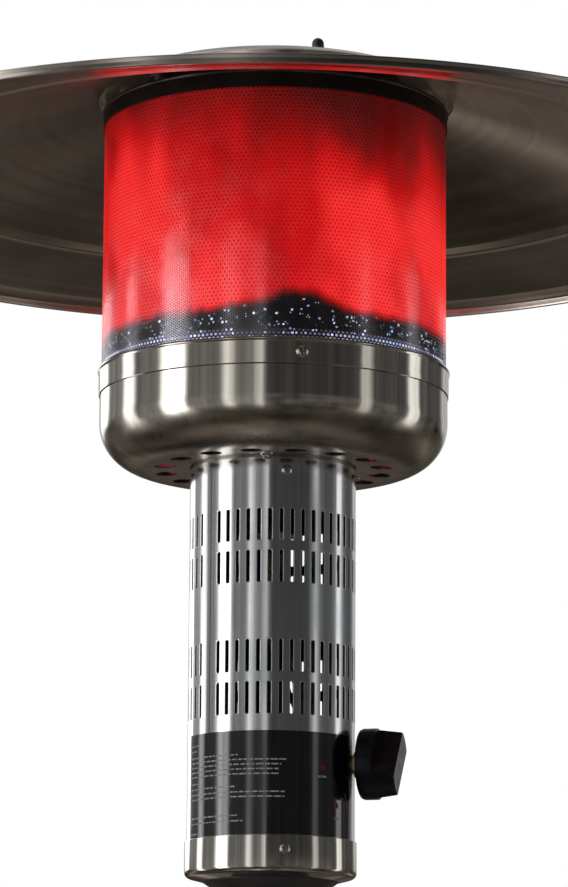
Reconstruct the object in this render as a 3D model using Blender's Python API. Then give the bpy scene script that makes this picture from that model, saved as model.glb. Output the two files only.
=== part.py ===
"""A free-standing gas patio heater with a mushroom reflector, modelled piece by piece.

Run with: blender --background --python part.py
Units are metres, +Z is up, the front of the heater is -Y, and the origin is on the floor on the post's axis.
Angles round the post are in degrees, counted from the front towards +X.
"""

import math

import bmesh
import bpy
from mathutils import Matrix, Vector

# ---------------------------------------------------------------- driving dimensions
MM = 0.001
GAP = 0.3 * MM  # left between two pieces that touch
SHEET = 1.0 * MM  # sheet metal of the housings
THIN = 0.8 * MM  # sheet metal of the burner bowl and the emitter

HEAD_Z = 1.595  # underside of the head's bottom collar, above the floor

HOUSING_R = 62 * MM
HOUSING_TOP = 298.6 * MM
COLLAR_H = 21 * MM
LABEL_H = 75.5 * MM
LABEL_FROM, LABEL_TO = -70.3, 65.5

SLOT_W, SLOT_H = 2.75 * MM, 23.5 * MM
SLOT_COUNT, SLOT_PITCH = 46, 7.6
SEAM_ANGLE = -48.6  # where the housing's rolled sheet meets
SLOT_ROWS = [121 * MM, 152 * MM, 217.8 * MM, 248.7 * MM]  # middles, above HEAD_Z

BOWL_R = 130.6 * MM
BOWL_BOTTOM = 299.2 * MM
BOWL_CORNER = 35 * MM
BOWL_TOP = 366 * MM
VENT_COUNT, VENT_R, VENT_RING_R = 16, 8 * MM, 82 * MM
RING_BOTTOM, RING_TOP = 354 * MM, 374 * MM
RING_R = 131.7 * MM

EMITTER_R = 129.5 * MM
PLATE_Z = 350 * MM
EMITTER_TOP = 575 * MM
LID_SKIRT = 14 * MM

REFLECTOR_R = 396 * MM  # about a 31 inch reflector
REFLECTOR_T = 1.2 * MM
CROWN_TOP = 598.7 * MM
STUD_RING_R = 87 * MM
STUD_ANGLES = [21.0, 141.0, 261.0]

KNOB_ANGLE, KNOB_Z = 76.0, 77.5 * MM
KNOB_BACK = 68.8 * MM  # from the post's axis to the back of the knob
KNOB_R, KNOB_SKIRT_H, KNOB_H = 26.2 * MM, 12.6 * MM, 28.8 * MM
GRIP_TURN = -41.0  # how far the grip bar leans from vertical at rest

POST_R, POST_T = 30 * MM, 1.8 * MM
POST_FOOT, POST_TOP = 0.655, HEAD_Z + 10 * MM
NECK_DROP = 55 * MM

BASE_R, BASE_T = 228.6 * MM, 8 * MM
SHELL_TOP = 50 * MM
COVER_R = 203 * MM
COVER_TOP = 0.788
LEG_R, LEG_RING_R = 9.5 * MM, 178 * MM
SOCKET_FROM, SOCKET_TO = 0.640, 0.735

REGULATOR_Y, REGULATOR_Z = -62 * MM, 0.505
WHEEL_R, WHEEL_W = 50 * MM, 26 * MM
AXLE_Y, AXLE_Z, AXLE_R = 272 * MM, 52 * MM, 5 * MM
WHEEL_X = 112 * MM

BIG, MEDIUM, SMALL, TINY = 40, 28, 20, 12  # facets of a turned piece


# ---------------------------------------------------------------- helpers
def clear_scene():
    for obj in list(bpy.data.objects):
        bpy.data.objects.remove(obj, do_unlink=True)


def make_material(name, color, roughness, metallic):
    mat = bpy.data.materials.new(name)
    mat.use_nodes = True
    shader = mat.node_tree.nodes["Principled BSDF"]
    shader.inputs["Base Color"].default_value = (*color, 1.0)
    shader.inputs["Roughness"].default_value = roughness
    shader.inputs["Metallic"].default_value = metallic
    return mat


def make_empty(name, location=(0, 0, 0), parent=None, rotation=None):
    empty = bpy.data.objects.new(name, None)
    bpy.context.scene.collection.objects.link(empty)
    empty.parent = parent
    empty.location = location
    if rotation is not None:
        empty.rotation_mode = "QUATERNION"
        empty.rotation_quaternion = rotation
    return empty


def place(name, data, mat, parent, location=(0, 0, 0)):
    obj = bpy.data.objects.new(name, data)
    bpy.context.scene.collection.objects.link(obj)
    obj.parent = parent
    obj.location = location
    if mat is not None:
        data.materials.append(mat)
    return obj


def finish_mesh(name, bm, mat, parent, location=(0, 0, 0), sharp=35.0):
    """Closes up a bmesh, turns its faces outwards and makes it an object."""
    bmesh.ops.remove_doubles(bm, verts=bm.verts, dist=1e-6)
    bmesh.ops.recalc_face_normals(bm, faces=bm.faces)
    if bm.calc_volume(signed=True) < 0:
        bmesh.ops.reverse_faces(bm, faces=bm.faces)
    mesh = bpy.data.meshes.new(name)
    bm.to_mesh(mesh)
    bm.free()
    mesh.shade_smooth()
    mesh.set_sharp_from_angle(angle=math.radians(sharp))
    return place(name, mesh, mat, parent, location)


def spun(profile, steps, closed=True):
    """A bmesh turned round Z from a profile of (radius, height) points."""
    bm = bmesh.new()
    verts = [bm.verts.new((r, 0, z)) for r, z in profile]
    pairs = list(zip(verts, verts[1:]))
    if closed:
        pairs.append((verts[-1], verts[0]))
    edges = [bm.edges.new(pair) for pair in pairs]
    bmesh.ops.spin(
        bm, geom=verts + edges, cent=(0, 0, 0), axis=(0, 0, 1),
        angle=math.tau, steps=steps, use_merge=True,
    )
    return bm


def lathe(name, profile, steps, mat, parent, location=(0, 0, 0), sharp=35.0):
    """A ring or tube: the profile is a closed outline that stays off the axis."""
    return finish_mesh(name, spun(profile, steps), mat, parent, location, sharp)


def lathe_solid(name, profile, steps, mat, parent, location=(0, 0, 0), sharp=35.0):
    """A solid of revolution: the profile starts and ends on the axis."""
    return finish_mesh(name, spun(profile, steps, closed=False), mat, parent, location, sharp)


def ring_profile(inner, outer, low, high):
    return [(outer, high), (outer, low), (inner, low), (inner, high)]


def shell_profile(outline, wall):
    """The outline of a sheet: its outer line, then the same line moved in by the wall."""
    moved = []
    for i, point in enumerate(outline):
        before = Vector(outline[max(i - 1, 0)])
        after = Vector(outline[min(i + 1, len(outline) - 1)])
        along = (after - before).normalized()
        moved.append(tuple(Vector(point) + wall * Vector((along.y, -along.x))))
    return outline + moved[::-1]


def arc_points(centre, radius, start, end, count):
    """Points of an arc in the profile plane, angles in degrees from +radius towards +height."""
    points = []
    for i in range(count + 1):
        angle = math.radians(start + (end - start) * i / count)
        points.append((centre[0] + radius * math.cos(angle), centre[1] + radius * math.sin(angle)))
    return points


def direction(angle):
    """The unit vector at an angle round the post, counted from the front towards +X."""
    a = math.radians(angle)
    return Vector((math.sin(a), -math.cos(a), 0))


def around(angle, radius, z):
    return direction(angle) * radius + Vector((0, 0, z))


def rod_bm(start, end, radius, sides, end_radius=None):
    start, end = Vector(start), Vector(end)
    bm = bmesh.new()
    bmesh.ops.create_cone(
        bm, cap_ends=True, segments=sides, radius1=radius,
        radius2=radius if end_radius is None else end_radius, depth=(end - start).length,
    )
    turn = (end - start).to_track_quat("Z", "Y").to_matrix().to_4x4()
    bmesh.ops.transform(bm, matrix=Matrix.Translation((start + end) / 2) @ turn, verts=bm.verts)
    return bm


def rod(name, start, end, radius, sides, mat, parent, end_radius=None):
    return finish_mesh(name, rod_bm(start, end, radius, sides, end_radius), mat, parent)


def block_bm(size, centre=(0, 0, 0), turn=0.0, bevel=0.0):
    bm = bmesh.new()
    bmesh.ops.create_cube(bm, size=1.0)
    bmesh.ops.scale(bm, vec=size, verts=bm.verts)
    if bevel:
        bmesh.ops.bevel(bm, geom=bm.edges[:], offset=bevel, segments=1, affect="EDGES")
    move = Matrix.Translation(Vector(centre)) @ Matrix.Rotation(math.radians(turn), 4, "Z")
    bmesh.ops.transform(bm, matrix=move, verts=bm.verts)
    return bm


def merge(*parts):
    """Several bmeshes as one, each still its own shell."""
    whole = bmesh.new()
    for part in parts:
        mesh = bpy.data.meshes.new("part")
        part.to_mesh(mesh)
        part.free()
        whole.from_mesh(mesh)
        bpy.data.meshes.remove(mesh)
    return whole


def cutter_from(name, bm, parent):
    obj = finish_mesh(name, bm, None, parent)
    obj.hide_render = True
    obj.display_type = "WIRE"
    return obj


def boolean(obj, other, operation):
    modifier = obj.modifiers.new(operation.lower() + "_" + other.name, "BOOLEAN")
    modifier.operation = operation
    modifier.object = other


def cut(obj, bm):
    boolean(obj, cutter_from("cut_" + obj.name, bm, obj.parent), "DIFFERENCE")


def add(obj, bm):
    boolean(obj, cutter_from("add_" + obj.name, bm, obj.parent), "UNION")


def smooth_route(points, spacing):
    """Points read about this far apart from a Catmull-Rom curve through the route's points."""
    points = [Vector(p) for p in points]
    ends = [2 * points[0] - points[1]] + points + [2 * points[-1] - points[-2]]
    route = [points[0]]
    for a, b, c, d in zip(ends, ends[1:], ends[2:], ends[3:]):
        steps = max(1, round((c - b).length / spacing))
        for i in range(1, steps + 1):
            t = i / steps
            route.append(0.5 * (2 * b + (c - a) * t + (2 * a - 5 * b + 4 * c - d) * t * t
                                + (3 * b - a - 3 * c + d) * t * t * t))
    return route


def tube(name, route, radius, mat, parent, resolution=2):
    curve = bpy.data.curves.new(name, "CURVE")
    curve.dimensions = "3D"
    curve.bevel_depth = radius
    curve.bevel_resolution = resolution
    curve.use_fill_caps = True
    spline = curve.splines.new("POLY")
    spline.points.add(len(route) - 1)
    for point, place_at in zip(spline.points, route):
        point.co = (*place_at, 1)
    return place(name, curve, mat, parent)


# ---------------------------------------------------------------- materials
def make_materials():
    return {
        "bright": make_material("brushed_stainless", (0.62, 0.60, 0.57), 0.28, 1.0),
        "polished": make_material("polished_stainless", (0.70, 0.70, 0.71), 0.14, 1.0),
        "reflector": make_material("spun_reflector", (0.30, 0.29, 0.28), 0.38, 1.0),
        "hot": make_material("heated_steel", (0.55, 0.06, 0.03), 0.5, 1.0),
        "dark": make_material("scorched_steel", (0.05, 0.045, 0.045), 0.5, 1.0),
        "steel": make_material("plain_steel", (0.48, 0.48, 0.49), 0.4, 1.0),
        "brass": make_material("brass", (0.70, 0.52, 0.25), 0.35, 1.0),
        "alloy": make_material("cast_alloy", (0.55, 0.55, 0.56), 0.45, 1.0),
        "black": make_material("black_plastic", (0.015, 0.015, 0.016), 0.3, 0.0),
        "foil": make_material("black_label", (0.02, 0.02, 0.022), 0.25, 0.0),
        "ceramic": make_material("white_ceramic", (0.85, 0.84, 0.80), 0.4, 0.0),
        "rubber": make_material("black_rubber", (0.02, 0.02, 0.02), 0.6, 0.0),
        "red": make_material("red_plastic", (0.55, 0.03, 0.02), 0.4, 0.0),
    }


# ---------------------------------------------------------------- the head
def build_reflector(mats, head):
    """Spun dish: flat crown, a neck over the emitter, a cone with one pressed bead, a flange."""
    top = CROWN_TOP - EMITTER_TOP
    outline = [
        (97 * MM, EMITTER_TOP + top),
        (120 * MM, EMITTER_TOP + 20.2 * MM),
        (131.6 * MM, EMITTER_TOP + 14.2 * MM),
        (135 * MM, EMITTER_TOP + 8.1 * MM),
        (286 * MM, EMITTER_TOP - 41.5 * MM),
        (293 * MM, EMITTER_TOP - 45.6 * MM),
        (368 * MM, EMITTER_TOP - 64.8 * MM),
        (REFLECTOR_R - 1.8 * MM, EMITTER_TOP - 66.3 * MM),
        (REFLECTOR_R, EMITTER_TOP - 68 * MM),
        (REFLECTOR_R, EMITTER_TOP - 71.6 * MM),
        (REFLECTOR_R - 1.6 * MM, EMITTER_TOP - 73.3 * MM),
    ]
    under = [
        (REFLECTOR_R - 3.2 * MM, EMITTER_TOP - 72 * MM),
        (REFLECTOR_R - 3.4 * MM, EMITTER_TOP - 67.7 * MM),
        (368 * MM, EMITTER_TOP - 66 * MM),
        (292.6 * MM, EMITTER_TOP - 46.9 * MM),
        (285.4 * MM, EMITTER_TOP - 42.7 * MM),
        (134.2 * MM, EMITTER_TOP + 7.1 * MM),
        (130.6 * MM, EMITTER_TOP + 13.4 * MM),
        (119.6 * MM, EMITTER_TOP + 19.1 * MM),
        (96.8 * MM, EMITTER_TOP + top - REFLECTOR_T),
    ]
    profile = [(0, CROWN_TOP)] + outline + under + [(0, CROWN_TOP - REFLECTOR_T)]
    reflector = lathe_solid("reflector", profile, 56, mats["reflector"], head, sharp=50.0)
    holes = [
        rod_bm(around(a, STUD_RING_R, CROWN_TOP - 5 * MM),
               around(a, STUD_RING_R, CROWN_TOP + 5 * MM), 3.6 * MM, 10)
        for a in STUD_ANGLES
    ]
    cut(reflector, merge(*holes))


def build_reflector_fixings(mats, head):
    """Three shouldered studs stand on the emitter's lid and carry the reflector under cap nuts."""
    foot, seat = EMITTER_TOP + GAP, CROWN_TOP - REFLECTOR_T - GAP
    nut_top = CROWN_TOP + 13.5 * MM
    stud = [(0, foot), (7 * MM, foot), (7 * MM, seat), (3 * MM, seat),
            (3 * MM, CROWN_TOP + 8 * MM), (0, CROWN_TOP + 8 * MM)]
    for i, angle in enumerate(STUD_ANGLES, 1):
        spot = around(angle, STUD_RING_R, 0)
        lathe_solid(f"reflector_stud_{i}", stud, TINY, mats["steel"], head, spot)
        build_cap_nut(f"reflector_nut_{i}", spot, nut_top, mats["steel"], head)


def build_cap_nut(name, spot, nut_top, mat, head):
    low = CROWN_TOP + GAP
    outer = [(5.6 * MM, low), (5.6 * MM, low + 4.8 * MM)]
    dome = arc_points((0, nut_top - 4.8 * MM), 4.8 * MM, 0, 90, 3)[:-1]
    bore = [(0, CROWN_TOP + 8.4 * MM), (3.4 * MM, CROWN_TOP + 8.4 * MM), (3.4 * MM, low)]
    profile = [(0, nut_top)] + dome[::-1] + outer[::-1] + bore[::-1]
    lathe_solid(name, profile, TINY, mat, head, spot)


def build_emitter(mats, head):
    floor = PLATE_Z + 2 * MM + GAP
    lathe("emitter_screen",
          ring_profile(EMITTER_R - THIN, EMITTER_R, floor, EMITTER_TOP - SHEET - GAP),
          BIG, mats["hot"], head)
    skirt_in = EMITTER_R + GAP
    skirt_out = skirt_in + THIN
    lid = [
        (0, EMITTER_TOP), (skirt_out - 1.5 * MM, EMITTER_TOP), (skirt_out, EMITTER_TOP - 1.5 * MM),
        (skirt_out, EMITTER_TOP - LID_SKIRT), (skirt_in, EMITTER_TOP - LID_SKIRT),
        (skirt_in, EMITTER_TOP - SHEET), (0, EMITTER_TOP - SHEET),
    ]
    lathe_solid("emitter_lid", lid, BIG, mats["dark"], head)


def build_burner(mats, head):
    """What stands inside the emitter: floor plate, burner, mixing tube, pilot and its probes."""
    plate = lathe_solid(
        "burner_plate",
        [(0, PLATE_Z + 2 * MM), (BOWL_R - THIN - GAP, PLATE_Z + 2 * MM),
         (BOWL_R - THIN - GAP, PLATE_Z), (0, PLATE_Z)],
        BIG, mats["steel"], head)
    holes = [rod_bm((0, 0, PLATE_Z - MM), (0, 0, PLATE_Z + 3 * MM), 17 * MM, SMALL)]
    holes += [
        rod_bm(around(a, 72 * MM, PLATE_Z - MM), around(a, 72 * MM, PLATE_Z + 3 * MM), r, TINY)
        for a, r in ((200.0, 4.4 * MM), (214.0, 4.4 * MM), (186.0, 4.4 * MM))
    ]
    cut(plate, merge(*holes))

    seat = PLATE_Z + 2 * MM + GAP
    cap = seat + 52 * MM
    lathe_solid("burner_head",
                [(0, cap + 8 * MM), (30 * MM, cap + 6 * MM), (48 * MM, cap), (50 * MM, cap - 4 * MM),
                 (50 * MM, seat + 6 * MM), (56 * MM, seat + 3 * MM), (56 * MM, seat),
                 (17 * MM, seat), (17 * MM, seat + 3 * MM), (48.6 * MM, seat + 4.5 * MM),
                 (48.6 * MM, cap - 5 * MM), (29 * MM, cap + 4.6 * MM), (0, cap + 6.6 * MM)],
                MEDIUM, mats["dark"], head)

    throat = 14 * MM
    mixing = [(16.6 * MM, PLATE_Z + 12 * MM), (16.6 * MM, PLATE_Z - 40 * MM), (throat, PLATE_Z - 60 * MM),
              (throat, PLATE_Z - 78 * MM), (20 * MM, PLATE_Z - 100 * MM)]
    lathe("mixing_tube", shell_profile(mixing, 1.2 * MM), SMALL, mats["steel"], head)
    lathe_solid("gas_orifice",
                [(0, 246 * MM), (2 * MM, 246 * MM), (5 * MM, 238 * MM), (8 * MM, 236 * MM),
                 (8 * MM, 222 * MM), (0, 222 * MM)],
                TINY, mats["brass"], head)

    base = PLATE_Z - 8 * MM
    pilot = [(0, seat + 22 * MM), (3 * MM, seat + 24 * MM), (4 * MM, seat + 18 * MM), (4 * MM, base), (0, base)]
    probe = [(0, seat + 34 * MM), (1.8 * MM, seat + 32 * MM), (1.8 * MM, seat + 10 * MM),
             (4 * MM, seat + 8 * MM), (4 * MM, base), (0, base)]
    spark = [(0, seat + 28 * MM), (1.2 * MM, seat + 27 * MM), (1.2 * MM, seat + 12 * MM),
             (3.6 * MM, seat + 11 * MM), (3.6 * MM, base), (0, base)]
    for name, shape, angle, mat in (
        ("pilot_burner", pilot, 200.0, "brass"),
        ("thermocouple", probe, 186.0, "steel"),
        ("spark_electrode", spark, 214.0, "ceramic"),
    ):
        lathe_solid(name, shape, 10, mats[mat], head, around(angle, 72 * MM, 0))


def build_bowl(mats, head):
    """The burner bowl: a neck inside the housing, a flat floor with vents, a round corner."""
    neck = HOUSING_R - SHEET - GAP
    corner = (BOWL_R - BOWL_CORNER, BOWL_BOTTOM + BOWL_CORNER)
    outline = [(neck, BOWL_BOTTOM - 16 * MM), (neck, BOWL_BOTTOM)]
    outline += arc_points(corner, BOWL_CORNER, -90, 0, 5)
    outline += [(BOWL_R, BOWL_TOP)]
    inner = [(BOWL_R - THIN, BOWL_TOP)]
    inner += arc_points(corner, BOWL_CORNER - THIN, 0, -90, 5)
    inner += [(neck - THIN, BOWL_BOTTOM + THIN), (neck - THIN, BOWL_BOTTOM - 16 * MM)]
    bowl = lathe("burner_bowl", outline + inner, BIG, mats["bright"], head)
    vents = [
        rod_bm(around(360 * (i + 0.5) / VENT_COUNT, VENT_RING_R, BOWL_BOTTOM - 5 * MM),
               around(360 * (i + 0.5) / VENT_COUNT, VENT_RING_R, BOWL_BOTTOM + 5 * MM), VENT_R, 10)
        for i in range(VENT_COUNT)
    ]
    cut(bowl, merge(*vents))

    slim = RING_R - 0.5 * MM
    ring = [(RING_R + 0.4 * MM, RING_TOP), (RING_R + 0.9 * MM, RING_TOP - 2 * MM), (RING_R, RING_TOP - 6 * MM),
            (slim, RING_BOTTOM + MM), (slim - 0.3 * MM, RING_BOTTOM),
            (BOWL_R + GAP, RING_BOTTOM), (BOWL_R + GAP, RING_TOP)]
    lathe("burner_ring", ring, BIG, mats["bright"], head)


def slot_columns():
    """The housing's vertical edges: (angle, what lies after it), 'slot' or 'web'."""
    half = math.degrees(SLOT_W / 2 / HOUSING_R)
    gap = 360 - SLOT_PITCH * (SLOT_COUNT - 1)
    first = SEAM_ANGLE + gap / 2
    columns = []
    for i in range(SLOT_COUNT):
        middle = first + SLOT_PITCH * i
        columns += [(middle - half, "slot"), (middle + half, "web")]
    columns += [(SEAM_ANGLE + 360 - 2.5, "web"), (SEAM_ANGLE + 360 + 2.5, "web")]
    return columns


def build_housing(mats, head):
    """The control housing: a rolled tube whose wall is built column by column round its slots."""
    low, high = 2 * MM, HOUSING_TOP
    levels = [low]
    for z in SLOT_ROWS:
        levels += [z - SLOT_H / 2, z + SLOT_H / 2]
    levels.append(high)
    columns = slot_columns()
    bm = bmesh.new()
    grid = {
        (side, i, k): bm.verts.new(around(angle, radius, z))
        for side, radius in (("out", HOUSING_R), ("in", HOUSING_R - SHEET))
        for i, (angle, _) in enumerate(columns)
        for k, z in enumerate(levels)
    }
    count, top = len(columns), len(levels) - 1
    for i, (_, kind) in enumerate(columns):
        j = (i + 1) % count
        for side in ("out", "in"):
            if kind == "web":
                rows = [(0, top)]
            else:
                rows = [(k, k + 1) for k in range(0, top, 2)]
            for a, b in rows:
                left = [grid[side, i, k] for k in range(a, b + 1)]
                right = [grid[side, j, k] for k in range(b, a - 1, -1)]
                bm.faces.new(left + right)
        for k in (0, top):
            bm.faces.new([grid["out", i, k], grid["out", j, k], grid["in", j, k], grid["in", i, k]])
        if kind == "slot":
            for k in range(1, top, 2):
                corners = [(i, k), (j, k), (j, k + 1), (i, k + 1)]
                for (a, c), (b, d) in zip(corners, corners[1:] + corners[:1]):
                    bm.faces.new([grid["out", a, c], grid["out", b, d], grid["in", b, d], grid["in", a, c]])
    housing = finish_mesh("control_housing", bm, mats["polished"], head)
    cut(housing, rod_bm(around(KNOB_ANGLE, HOUSING_R - 8 * MM, KNOB_Z),
                        around(KNOB_ANGLE, HOUSING_R + 8 * MM, KNOB_Z), 6 * MM, TINY))


def build_label(mats, head):
    """The instruction label: a thin foil on the housing that ends just short of the knob's bushing."""
    inner, outer = HOUSING_R + GAP, HOUSING_R + GAP + 0.3 * MM
    low, high = COLLAR_H + GAP, COLLAR_H + GAP + LABEL_H
    steps = 28
    bm = bmesh.new()
    rows = []
    for i in range(steps + 1):
        angle = LABEL_FROM + (LABEL_TO - LABEL_FROM) * i / steps
        rows.append([bm.verts.new(around(angle, r, z))
                     for r, z in ((inner, low), (outer, low), (outer, high), (inner, high))])
    for a, b in zip(rows, rows[1:]):
        for k in range(4):
            bm.faces.new([a[k], b[k], b[(k + 1) % 4], a[(k + 1) % 4]])
    bm.faces.new(rows[0])
    bm.faces.new(rows[-1])
    finish_mesh("control_label", bm, mats["foil"], head)


def build_collar(mats, head):
    """The bottom collar round the housing, and the cone below it that takes the post."""
    inner = HOUSING_R + GAP
    hole = 50 * MM
    collar = [(inner, -0.6 * MM), (inner, COLLAR_H), (inner + 0.7 * MM, COLLAR_H),
              (inner + 1 * MM, COLLAR_H - 1.5 * MM), (inner + 1.2 * MM, -1.6 * MM), (inner - 0.6 * MM, -4.6 * MM),
              (inner - 3.5 * MM, -5.9 * MM), (hole, -8 * MM), (hole, -6.8 * MM), (inner - 3.7 * MM, -4.6 * MM),
              (inner - 1.4 * MM, -3.4 * MM)]
    lathe("bottom_collar", collar, BIG, mats["bright"], head)
    rim = hole - GAP
    neck = POST_R + GAP
    cone = [(rim, -5.8 * MM), (rim, -8.6 * MM), (neck + 8 * MM, -16 * MM), (neck + 2 * MM, -23 * MM),
            (neck + 2 * MM, -NECK_DROP), (neck, -NECK_DROP), (neck, -14 * MM)]
    lathe("post_cone", cone, MEDIUM, mats["dark"], head)


# ---------------------------------------------------------------- controls
def build_controls(mats, head):
    out = direction(KNOB_ANGLE)
    turn = out.to_track_quat("Z", "Y")
    knob_axis = make_empty("knob_axis", Vector((0, 0, KNOB_Z)), head, turn)

    valve = finish_mesh("gas_valve", block_bm((34 * MM, 40 * MM, 34 * MM), (0, 0, 23 * MM), bevel=2 * MM),
                        mats["alloy"], knob_axis)
    add(valve, rod_bm((0, 0, 38 * MM), (0, 0, 44 * MM), 9 * MM, TINY))
    cut(valve, rod_bm((0, 0, 34 * MM), (0, 0, 50 * MM), 3.5 * MM, TINY))
    lathe("valve_plunger", ring_profile(3.3 * MM, 5.2 * MM, 48.5 * MM, 58 * MM), TINY, mats["brass"], knob_axis)
    lathe_solid("valve_stem",
                [(0, 80 * MM), (3 * MM, 80 * MM), (3 * MM, 38 * MM), (0, 38 * MM)],
                TINY, mats["brass"], knob_axis)
    lathe("valve_bushing",
          [(10 * MM, HOUSING_R + 1.2 * MM), (10 * MM, HOUSING_R + 3.4 * MM), (8.5 * MM, HOUSING_R + 4 * MM),
           (3.8 * MM, HOUSING_R + 4 * MM), (3.8 * MM, 58.6 * MM), (5.6 * MM, 58.6 * MM),
           (5.6 * MM, HOUSING_R + 1.2 * MM)],
          TINY, mats["brass"], knob_axis)
    build_knob(mats["black"], knob_axis)

    turn = Matrix.Rotation(math.radians(KNOB_ANGLE - 90), 4, "Z").to_quaternion()
    bracket_axis = make_empty("bracket_axis", (0, 0, KNOB_Z), head, turn)
    finish_mesh("valve_bracket", block_bm((2 * MM, 119 * MM, 30 * MM), (4.7 * MM, 0, 0)),
                mats["steel"], bracket_axis)
    finish_mesh("tilt_switch", block_bm((16 * MM, 22 * MM, 26 * MM), (-4.6 * MM, 30 * MM, 0), bevel=1.5 * MM),
                mats["red"], bracket_axis)
    lathe_solid("piezo_igniter",
                [(0, 30 * MM), (5 * MM, 29 * MM), (9 * MM, 23 * MM), (9 * MM, -13 * MM), (0, -13 * MM)],
                TINY, mats["black"], bracket_axis, (-5.6 * MM, -30 * MM, 0))


def build_knob(mat, axis):
    """A round skirt, and a grip bar across its face whose ends follow the skirt's round edge."""
    back, rim, top = KNOB_BACK, KNOB_BACK + KNOB_SKIRT_H, KNOB_BACK + KNOB_H
    solid = [(0, rim), (KNOB_R - 0.8 * MM, rim), (KNOB_R, rim - 0.8 * MM), (KNOB_R, back + 1.5 * MM),
             (KNOB_R - 1.5 * MM, back), (12 * MM, back), (12 * MM, back + 2 * MM), (3.3 * MM, back + 2 * MM),
             (3.3 * MM, 80.4 * MM), (0, 80.4 * MM)]
    knob = lathe_solid("control_knob", solid, MEDIUM, mat, axis, sharp=30.0)
    foot = rim - 0.4 * MM
    bm = bmesh.new()
    lower = [bm.verts.new((x, y, foot)) for x, y in bar_outline(KNOB_R - 0.3 * MM, 14.4 * MM)]
    upper = [bm.verts.new((x, y, top)) for x, y in bar_outline(KNOB_R - 0.7 * MM, 10 * MM)]
    bm.faces.new(lower[::-1])
    bm.faces.new(upper)
    for i in range(len(lower)):
        j = (i + 1) % len(lower)
        bm.faces.new([lower[i], lower[j], upper[j], upper[i]])
    bmesh.ops.bevel(bm, geom=[e for e in bm.edges if all(v in upper for v in e.verts)],
                    offset=0.8 * MM, segments=1, affect="EDGES")
    turn = Matrix.Rotation(math.radians(GRIP_TURN), 4, "Z")
    bmesh.ops.transform(bm, matrix=turn, verts=bm.verts)
    add(knob, bm)


def bar_outline(radius, half_width):
    """A bar along local Y whose ends are arcs of the circle, counter-clockwise."""
    span = math.asin(half_width / radius)
    end = [(radius * math.sin(span * k / 2), radius * math.cos(span * k / 2)) for k in (2, 1, 0, -1, -2)]
    return end + [(-x, -y) for x, y in end]


def build_lines(mats, head):
    """Gas tubes and leads inside the housing."""
    out = direction(KNOB_ANGLE)
    side = direction(KNOB_ANGLE + 90)
    valve = out * 23 * MM
    up = Vector((0, 0, MM))
    burner = [valve + up * (KNOB_Z / MM + 20.6), valve + up * 112, valve * 0.9 + up * 140,
              valve * 0.35 + up * 185, up * 208, up * 221.4]
    tube("burner_gas_tube", smooth_route(burner, 12 * MM), 4 * MM, mats["brass"], head)

    def lead(name, start, angle, radius, mat):
        hole = around(angle, 72 * MM, PLATE_Z - 8.6 * MM)
        middle = around(angle, 49 * MM, 225 * MM)
        route = [start, start + up * 14, middle, around(angle, 53 * MM, 290 * MM),
                 around(angle, 66 * MM, 322 * MM), hole]
        tube(name, smooth_route(route, 16 * MM), radius, mat, head)

    above = up * (KNOB_Z / MM + 20.6)
    lead("pilot_tube", valve - side * 12 * MM + above, 200.0, 1.8 * MM, mats["brass"])
    lead("thermocouple_lead", valve + side * 12 * MM + above, 186.0, 1.5 * MM, mats["brass"])
    igniter_top = out * -5.6 * MM - side * 30 * MM + up * (KNOB_Z / MM + 30.6)
    lead("spark_lead", igniter_top, 214.0, 1.8 * MM, mats["black"])


# ---------------------------------------------------------------- post, base and cover
def build_post(mats):
    lathe("post", ring_profile(POST_R - POST_T, POST_R, POST_FOOT, POST_TOP), MEDIUM, mats["bright"], None)
    bore = POST_R + GAP
    socket = [(bore, SOCKET_TO), (bore, POST_FOOT - GAP), (22 * MM, POST_FOOT - GAP), (22 * MM, SOCKET_FROM),
              (bore + 3 * MM, SOCKET_FROM), (bore + 3 * MM, SOCKET_TO)]
    lathe("post_socket", socket[::-1], MEDIUM, mats["dark"], None)
    for i in range(3):
        angle = 60.0 + 120.0 * i
        shoulder = 0.60
        hub = bore + 3 * MM + GAP
        route = [around(angle, LEG_RING_R, BASE_T + GAP), around(angle, LEG_RING_R, 0.30),
                 around(angle, LEG_RING_R, 0.52), around(angle, LEG_RING_R - 18 * MM, shoulder),
                 around(angle, LEG_RING_R - 75 * MM, 0.660), around(angle, hub + 16 * MM, 0.690),
                 around(angle, hub + 2.4 * MM, 0.6925)]
        tube(f"post_leg_{i + 1}", smooth_route(route, 48 * MM), LEG_R, mats["dark"], None)


def build_base(mats):
    rim = BASE_R
    lathe_solid("base_plate",
                [(0, BASE_T), (rim - 3 * MM, BASE_T), (rim, BASE_T - 3 * MM), (rim, 1.5 * MM),
                 (rim - 1.5 * MM, 0), (0, 0)],
                BIG, mats["dark"], None)
    seat = COVER_R + 6 * MM
    outer = [(rim - 5 * MM, BASE_T + GAP), (rim - 5 * MM, 26 * MM), (seat + 4 * MM, SHELL_TOP - 4 * MM),
             (seat, SHELL_TOP), (COVER_R - 6 * MM, SHELL_TOP)]
    inner = [(COVER_R - 6 * MM, SHELL_TOP - 1.2 * MM), (seat - 1 * MM, SHELL_TOP - 1.2 * MM),
             (seat + 2.8 * MM, SHELL_TOP - 5 * MM), (rim - 6.4 * MM, 25.4 * MM), (rim - 6.4 * MM, BASE_T + GAP)]
    lathe("base_shell", outer + inner, BIG, mats["bright"], None)


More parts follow.
